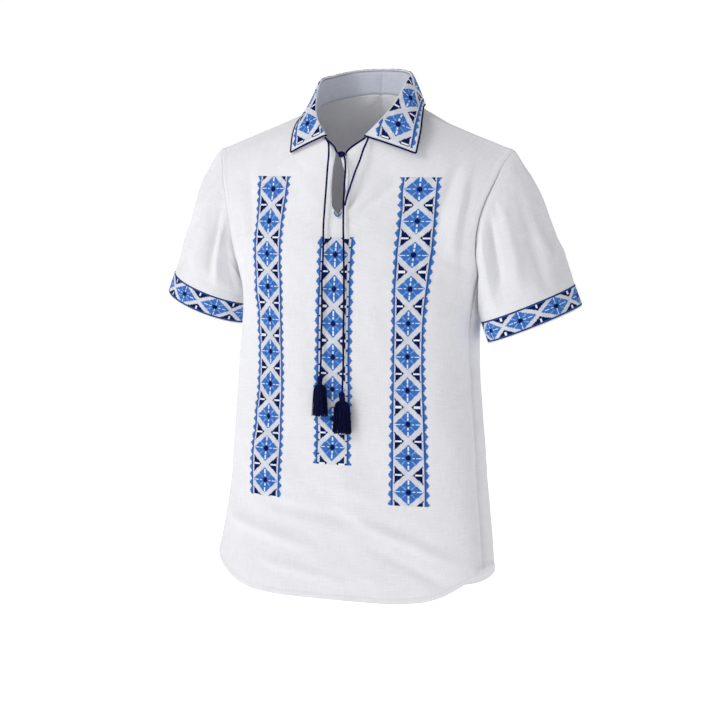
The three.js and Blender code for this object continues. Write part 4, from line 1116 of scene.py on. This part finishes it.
def strip_surface(kind, top):
    """Surface function of a strip: across in mm from its middle, down in mm from its top."""
    shares = np.linspace(-STRIP_HALF - 2, STRIP_HALF + 2, 23)
    places = np.linspace(1.5, HEM, 500)

    def distance_out(s, place):
        if kind == 0:
            return np.abs(s)
        outer = read_rows(SECTION_SHAPE, place)[..., 2]
        sway = (kind < 0) * np.interp(place, range(len(STRIP_SWAY)), STRIP_SWAY)
        width = outer - STRIP_INNER
        return STRIP_INNER - sway + width * (s * kind + STRIP_HALF) / (2 * STRIP_HALF)

    def point(s, place):
        x = distance_out(s, place)
        out_left = panel_out("front", 1, place, x)
        out_right = panel_out("front", -1, place, x)
        left = panel_point("front", 1, place, out_left)
        right = panel_point("front", -1, place, out_right)
        on_left = (s >= 0) if kind == 0 else np.full(s.shape, kind > 0)
        return np.where(on_left[..., None], left, right)

    # How high each section lies, on lines at even distances across the strip.
    levels = np.stack([point(np.full(places.shape, s), places)[:, 2] for s in shares])

    def surface(s, t):
        s, t = np.broadcast_arrays(np.asarray(s, float), np.asarray(t, float))
        column = np.interp(s, shares, np.arange(len(shares)))
        low = np.clip(np.floor(column).astype(int), 0, len(shares) - 2)
        # A point's section is read by its height, between the two lines next to it.
        blend = column - low
        place = np.zeros(s.shape)
        for k in range(len(shares)):
            here = np.interp(t - top, -levels[k], places)
            place += here * np.where(low == k, 1 - blend, np.where(low + 1 == k, blend, 0))
        return point(s, place)

    return surface


strips = {}
for name, (kind, top, bottom, repeat, teeth, stars) in STRIPS.items():
    motif = dict(STRIP_MOTIF, repeat=repeat, tooth=repeat / teeth)
    across = square_edges(-STRIP_HALF, STRIP_HALF)
    along = square_edges(0, top - bottom)
    centre_across, centre_along = square_centres(across, along)
    if kind == 0:
        motif.update(CENTRE_MOTIF)
    marks = [stars[0] - repeat, *stars, stars[-1] + repeat]
    place_in_chart = np.interp(centre_along, marks, (np.arange(len(marks)) - 0.5) * repeat)
    threads = chart(centre_across, place_in_chart, motif)
    strips[name] = stitched_object(f"{name}_stitches", strip_surface(kind, top), across, along,
                                   threads)
    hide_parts(name)

# %% [markdown]
# ## Bands and collar ornament
# The same motif, narrower, runs round each sleeve end between two navy lines. On the collar it
# is squeezed towards the front corners, where the leaf is narrower, and it keeps clear of the
# edges that the piping is sewn to.

# %% Bands round the sleeves
BAND_MOTIF = {
    "repeat": SLEEVE_GIRTH / 8, "diamond": (14.0, 22.6), "core": 3.6,
    "half_diamond": (4.6, 12.6, 12.8), "frame": 13.0, "line": 15.6, "edge": NAVY,
}
BAND_SHIFT = {"left": 19.4, "right": 6.6}  # the bands start at their own places in the repeat
INNER_LINE = 13.64  # a row of royal blue inside each navy line


def band_surface(side):
    def surface(s, t):
        return mouth_point(-side * s / SLEEVE_GIRTH, BAND_HEM + BAND_WIDTH - t, side)

    return surface


around, down = square_edges(0, SLEEVE_GIRTH), square_edges(0, BAND_WIDTH)
along, across = square_centres(around, down)
from_middle = across - BAND_WIDTH / 2
bands = {}
for name, side in SIDES.items():
    threads = chart(from_middle, along + side * BAND_SHIFT[name], BAND_MOTIF)
    threads[np.abs(np.abs(from_middle) - INNER_LINE) < 0.3] = ROYAL
    bands[name] = stitched_object(f"sleeve_band_{name}_stitches", band_surface(side), around, down,
                                  threads)
    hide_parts(f"sleeve_band_{name}")

# %% Collar ornament
COLLAR_MARGIN = 6.5  # plain linen from the front edge to the middle of the first crossing
COLLAR_CLEAR = 3.5  # no stitch lies nearer than this to a front edge
COLLAR_FULL = 58.0  # where the leaf is narrower, the ornament is squeezed
COLLAR_CENTRE = 34.0  # from the outer edge to the middle of the ornament
COLLAR_REPEATS = 9
collar_length = leaf_run[-1]
collar_motif = dict(STRIP_MOTIF, repeat=(collar_length - 2 * COLLAR_MARGIN) / COLLAR_REPEATS)


def from_collar_edge(s, t):
    """Distance from the leaf's outer edge to a place on its ornament, and the leaf's width."""
    width = np.interp(s, leaf_run, leaf_widths)
    return (COLLAR_CENTRE - t) * np.minimum(width / COLLAR_FULL, 1), width


def collar_surface(s, t):
    """Points on the leaf: s along it, t across it from the ornament's middle to the edge."""
    from_edge, width = from_collar_edge(s, t)
    return leaf_point(np.interp(s, leaf_run, leaf_places), np.clip(1 - from_edge / width, 0, 1))


along = square_edges(COLLAR_MARGIN - 4, collar_length - COLLAR_MARGIN + 4)
across = square_edges(-STRIP_HALF, STRIP_HALF)
centre_along, centre_across = square_centres(along, across)
threads = chart(centre_across, centre_along - COLLAR_MARGIN, collar_motif)
from_edge, width = from_collar_edge(centre_along, centre_across)
threads[(centre_along < COLLAR_CLEAR) | (centre_along > collar_length - COLLAR_CLEAR)
        | (from_edge < 1.2) | (from_edge > width * 0.955)] = EMPTY
collar_ornament = stitched_object("collar_stitches", collar_surface, along, across, threads)

# %% [markdown]
# ## Piping
# A navy piping, a cord wrapped in a bias strip, is sewn into the edge of the leaf and runs on
# down both neck edges to the knot. It is a plain tube just outside the cloth's edge.

# %% Piping
PIPING = 2.7
PIPING_GAP = PIPING / 2 + 0.1
front_downs = np.linspace(0.02, 0.93, 26)


def piping_object(name, line):
    grid = tube_grid(line, PIPING / 2, 10, lobes=2, lay_length=5.0, lobe_depth=0.1)
    return tubes_object(name, [grid], cord_cotton)


def leaf_side(place, inner):
    """Points just off one front edge of the leaf."""
    edge_line = leaf_point(np.full(front_downs.shape, place), front_downs)
    inside = leaf_point(np.full(front_downs.shape, inner), front_downs)
    return edge_line + unit(edge_line - inside) * PIPING_GAP


outer_places = np.linspace(0.12, 2 * BACK_CENTRE - 0.12, 160)
outer_line = leaf_point(outer_places, 1.0)
outer_line = outer_line + unit(outer_line - leaf_point(outer_places, 0.93)) * PIPING_GAP
tips = []  # at the two front corners the piping stands a little further out
for place, inner in ((0, 0.1), (12, 11.9)):
    tip = leaf_point(place, 1.0)
    corner = unit(unit(tip - leaf_point(place, 0.93)) + unit(tip - leaf_point(inner, 1.0)))
    tips.append(tip + corner * PIPING_GAP * 1.25)
piping_line = np.concatenate([leaf_side(0, 0.1), tips[:1], outer_line, tips[1:],
                              leaf_side(12, 11.9)[::-1]])
piping_line = smooth_line(evenly(piping_line, 3.0), 1.2)
collar_piping = piping_object("collar_piping_cord", piping_line)
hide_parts("collar_piping")

TO_KNOT_RIGHT = [(-9.4, -72.9, -66.2), (-6.4, -73.9, -69)]
for name, side in SIDES.items():
    places = np.linspace(NECK_CORNER, NECK_CORNER + 1, 25)
    line = read_rows(PANELS["front"][0][side], places) * MIRROR[side]
    line = line + np.array([-1.1 * side, -0.6, 1.6])
    if side < 0:
        line = np.concatenate([line, TO_KNOT_RIGHT])
    piping_object(f"neck_piping_{name}_cord", smooth_line(line, 1.0))
    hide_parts(f"neck_piping_{name}")
print("piping", round(lengths_along(piping_line)[-1]), "mm round the collar")

# %% [markdown]
# ## Seam stitches
# Rows of machine stitches hold the seams and hems: two rows beside each armhole, one in front
# of each shoulder seam, and one round the hem. Each stitch is a small spindle of thread that
# dips in at both ends, so a row catches the light as a fine broken line.


# %% Stitch rows
STITCH_PITCH, STITCH_LENGTH, STITCH_HALF = 3.0, 2.3, 0.3
SPINDLE = np.array([  # corners round one end, four corners of the middle, the other end
    (0, 2, 1), (0, 3, 2), (0, 4, 3), (0, 1, 4), (5, 1, 2), (5, 2, 3), (5, 3, 4), (5, 4, 1)])


def spindles(line, normals):
    """Vertices of the stitches along a line on the cloth, six to each."""
    run = lengths_along(line)
    vertices = []
    for k in range(int(run[-1] // STITCH_PITCH)):
        start = (k + 0.5) * STITCH_PITCH - STITCH_LENGTH / 2
        first, second = points_at(start, run, line), points_at(start + STITCH_LENGTH, run, line)
        normal = points_at(start, run, normals)
        side = np.cross(unit(second - first), normal) * STITCH_HALF
        middle = (first + second) / 2 + normal * 0.2
        vertices += [first - normal * 0.1, middle + side, middle + normal * STITCH_HALF,
                     middle - side, middle - normal * STITCH_HALF, second - normal * 0.1]
    return vertices


def stitch_rows(name, rows):
    """One object of all the stitches of some rows."""
    vertices = [vertex for line, normals in rows for vertex in spindles(line, normals)]
    count = len(vertices) // 6
    faces = SPINDLE[None] + 6 * np.arange(count)[:, None, None]
    piece = mesh_object(name, vertices, faces.reshape(-1, 3), [seam_cotton])
    print(name, count, "stitches")
    return piece


def row_at(panel, side, place, out):
    """A line on a panel, just above the cloth, and the cloth's normals along it."""
    place, out = np.broadcast_arrays(np.asarray(place, float), np.asarray(out, float))
    p, q = np.clip(place, 0.05, HEM - 0.05), np.clip(out, 0.01, 0.985)
    down = panel_point(panel, side, p + 0.02, q) - panel_point(panel, side, p - 0.02, q)
    outwards = panel_point(panel, side, p, q + 0.004) - panel_point(panel, side, p, q - 0.004)
    normals = unit(np.cross(down, outwards)) * facing(panel, side)
    return panel_point(panel, side, place, out) + normals * 0.25, normals


def armhole_row(panel, side, distance):
    """A row at a distance in mm from the armhole seam."""
    place = np.linspace(0.15, UNDERARM - 0.25, 160)
    edge = panel_point(panel, side, place, 1.0)
    inside = panel_point(panel, side, place, 0.97)
    reach = np.linalg.norm(edge - inside, axis=1)
    return row_at(panel, side, place, 1 - 0.03 * distance / reach)


def hem_row(panel, side, distance):
    """A row at a distance in mm from the lower edge."""
    out = np.linspace(0.0, 0.985, 200)
    edge = panel_point(panel, side, HEM, out)
    inside = panel_point(panel, side, HEM - 0.1, out)
    reach = np.linalg.norm(edge - inside, axis=1)
    return row_at(panel, side, HEM - 0.1 * distance / reach, out)


HEM_ROW = 6.2
ARMHOLE_ROWS = (2.2, 7.6)
SHOULDER_ROW = (0.14, np.linspace(0.08, 0.97, 120))  # place and out
seam_rows = {}
for panel in ("front", "back"):
    rows = []
    for side in SIDES.values():
        rows.append(hem_row(panel, side, HEM_ROW))
        rows += [armhole_row(panel, side, distance) for distance in ARMHOLE_ROWS]
        if panel == "front":
            rows.append(row_at(panel, side, *SHOULDER_ROW))
    seam_rows[panel] = stitch_rows(f"{panel}_seam_stitches", rows)

# %% [markdown]
# ## Edges of the slit
# The cut edges of the slit are whipped over with white thread, which leaves a row of small
# scallops, and a narrow facing shows behind the wearer's left edge. The foot, where a pull
# would tear the cloth, is held by a bar of close blue stitches.

# %% Slit edges
SLIT_EDGE = np.linspace(4.08, 6.9, 60)  # the sections that the whipped edge runs over
WHIPPING_RADIUS, WHIPPING_PITCH = 0.75, 3.6
BAR_RADIUS, BAR_PITCH = 0.95, 2.2
BAR_TACK = [(-6.2, -88.3, -153.5), (-4.2, -89.0, -157.6), (-0.6, -89.5, -160.2),
            (3.0, -89.2, -158.6), (6.0, -88.4, -154.0)]


def beaded_object(name, line, radius, pitch, thread):
    """A tube of thread that swells and narrows once per stitch."""
    size = radius * (1 + 0.35 * np.cos(2 * np.pi * lengths_along(line) / pitch))
    piece = tubes_object(name, [tube_grid(line, size, 8)], THREADS[thread])
    return piece


slit_pieces = []
for name, side in SIDES.items():
    edge = panel_point("front", side, SLIT_EDGE, 0.0) + np.array([0, -0.5, 0])
    slit_pieces.append(beaded_object(f"slit_whipping_{name}", smooth_line(edge, 0.6),
                                     WHIPPING_RADIUS, WHIPPING_PITCH, "white"))
slit_pieces.append(beaded_object("slit_bar_tack", smooth_line(BAR_TACK, 0.5), BAR_RADIUS,
                                 BAR_PITCH, "royal"))

# The facing is a strip behind the wearer's left edge that tapers towards the foot.
facing_places = np.linspace(4.0, 6.2, 30)
facing_width = 7.5 * (1 - smoothstep(facing_places, 4.9, 6.2)) + 0.8
edge = panel_point("front", 1, facing_places, 0.0)
inward = np.linspace(-0.3, 1, 7)[None, ::-1]
facing_grid = np.stack([edge[:, :1] - facing_width[:, None] * inward,
                        edge[:, 1:2] + 2.2 + 1.2 * inward,
                        edge[:, 2:] + 0 * inward], axis=-1)
slit_facing = cloth_object("slit_facing", [(facing_grid, facing_grid[..., [0, 2]])],
                           [white_linen], thickness=0.8)
slit_pieces.append(slit_facing)
print("slit pieces:", len(slit_pieces))

# %% [markdown]
# ## Cloth sizes
# For every sheet, the area of its curved cloth is measured and printed with its share of the
# rectangle of its paper pattern. The widths and lengths are those of the paper pattern of a shirt
# of this size, and the areas are the real cut outlines, measured from the curved cloth, because a
# shirt panel isn't a rectangle.


def surface_area(thing):
    """Area of one face of the cloth before it is given its thickness, in square metres."""
    return sum(polygon.area for polygon in thing.data.polygons)


SHEETS = [  # cloth, width and length of its paper pattern, what it rests on, what is sewn to it
    (body["front"], (0.52, 0.74), ["back_panel"],
     [*strips.values(), seam_rows["front"], *slit_pieces]),
    (body["back"], (0.54, 0.76), ["collar_neckband"], [seam_rows["back"]]),
    (sleeves["left"], (0.46, 0.25), ["front_panel"], [bands["left"]]),
    (sleeves["right"], (0.46, 0.25), ["front_panel"], [bands["right"]]),
    (collar_leaf, (0.52, 0.08), ["collar_neckband"], [collar_ornament, collar_piping]),
]
for cloth, flat, rests_on, pieces in SHEETS:
    area = surface_area(cloth)
    share = area / (flat[0] * flat[1])
    print(cloth.name, "area", round(area, 4), "share of its rectangle", round(share, 2))

# %% [markdown]
# ## Studio
# White cloth before a white ground shows only by its shading. A large soft key light rakes it
# from the wearer's right, a weak one fills from the left and another lights the edge from
# behind. The floor is pale, and the surround is white at eye level and dimmer above and below,
# so that the ground is bright while the cloth keeps its shading.

# %% Floor, lights and surround
FLOOR_LEVEL = -0.86
floor_material, floor_shader = new_material("pale studio floor", roughness=0.9)
floor_shader.inputs["Base Color"].default_value = colour("#dedee0")
floor_shader.inputs["Emission Color"].default_value = colour("#ffffff")
floor_shader.inputs["Emission Strength"].default_value = 0.8
bpy.ops.mesh.primitive_plane_add(size=300, location=(0, 0, FLOOR_LEVEL))
floor = bpy.context.object
floor.name = "studio_floor"
floor.data.materials.append(floor_material)

LIGHTS = [  # name, place, size, power
    ("key", (-2.0, -2.0, 1.7), 1.4, 52),
    ("fill", (2.2, -0.6, 2.6), 1.8, 13),
    ("rim", (0.8, 2.4, 1.6), 1.6, 6),
]
LIT_PLACE = Vector((0, 0, -0.35))
for name, place, size, power in LIGHTS:
    light = bpy.data.lights.new(name, "AREA")
    light.size = size
    light.energy = power
    lamp = bpy.data.objects.new(name, light)
    lamp.location = place
    lamp.rotation_euler = (Vector(place) - LIT_PLACE).to_track_quat("Z", "Y").to_euler()
    bpy.context.scene.collection.objects.link(lamp)

SURROUND = [  # height, from 0 straight down over 0.5 at eye level to 1 straight up, and grey
    (0.0, 0.25), (0.48, 0.25), (0.49, 1.03), (0.54, 1.03), (0.56, 0.25), (1.0, 0.3)]
world = bpy.data.worlds.new("bright surround")
world.use_nodes = True
direction = add_node(world, "ShaderNodeTexCoord")
height = add_node(world, "ShaderNodeSeparateXYZ", None, {"Vector": (direction, "Generated")})
level = add_node(world, "ShaderNodeMapRange", None, {"Value": (height, "Z"), "From Min": -1.0})
glow = add_node(world, "ShaderNodeValToRGB", None, {"Fac": (level, "Result")})
while len(glow.color_ramp.elements) < len(SURROUND):
    glow.color_ramp.elements.new(0.5)
for element, (position, grey) in zip(glow.color_ramp.elements, SURROUND):
    element.position = position
    element.color = (grey, grey, grey * 1.01, 1)
set_inputs(world, world.node_tree.nodes["Background"], {"Color": (glow, "Color")})
bpy.context.scene.world = world
bpy.context.scene.view_settings.view_transform = "Standard"

# %% [markdown]
# ## Finish
# Cloth may stand a little proud of the solids, but the shirt has to keep their size. The last
# line brings the scene up to date.

# %% Finish
bpy.context.view_layer.update()
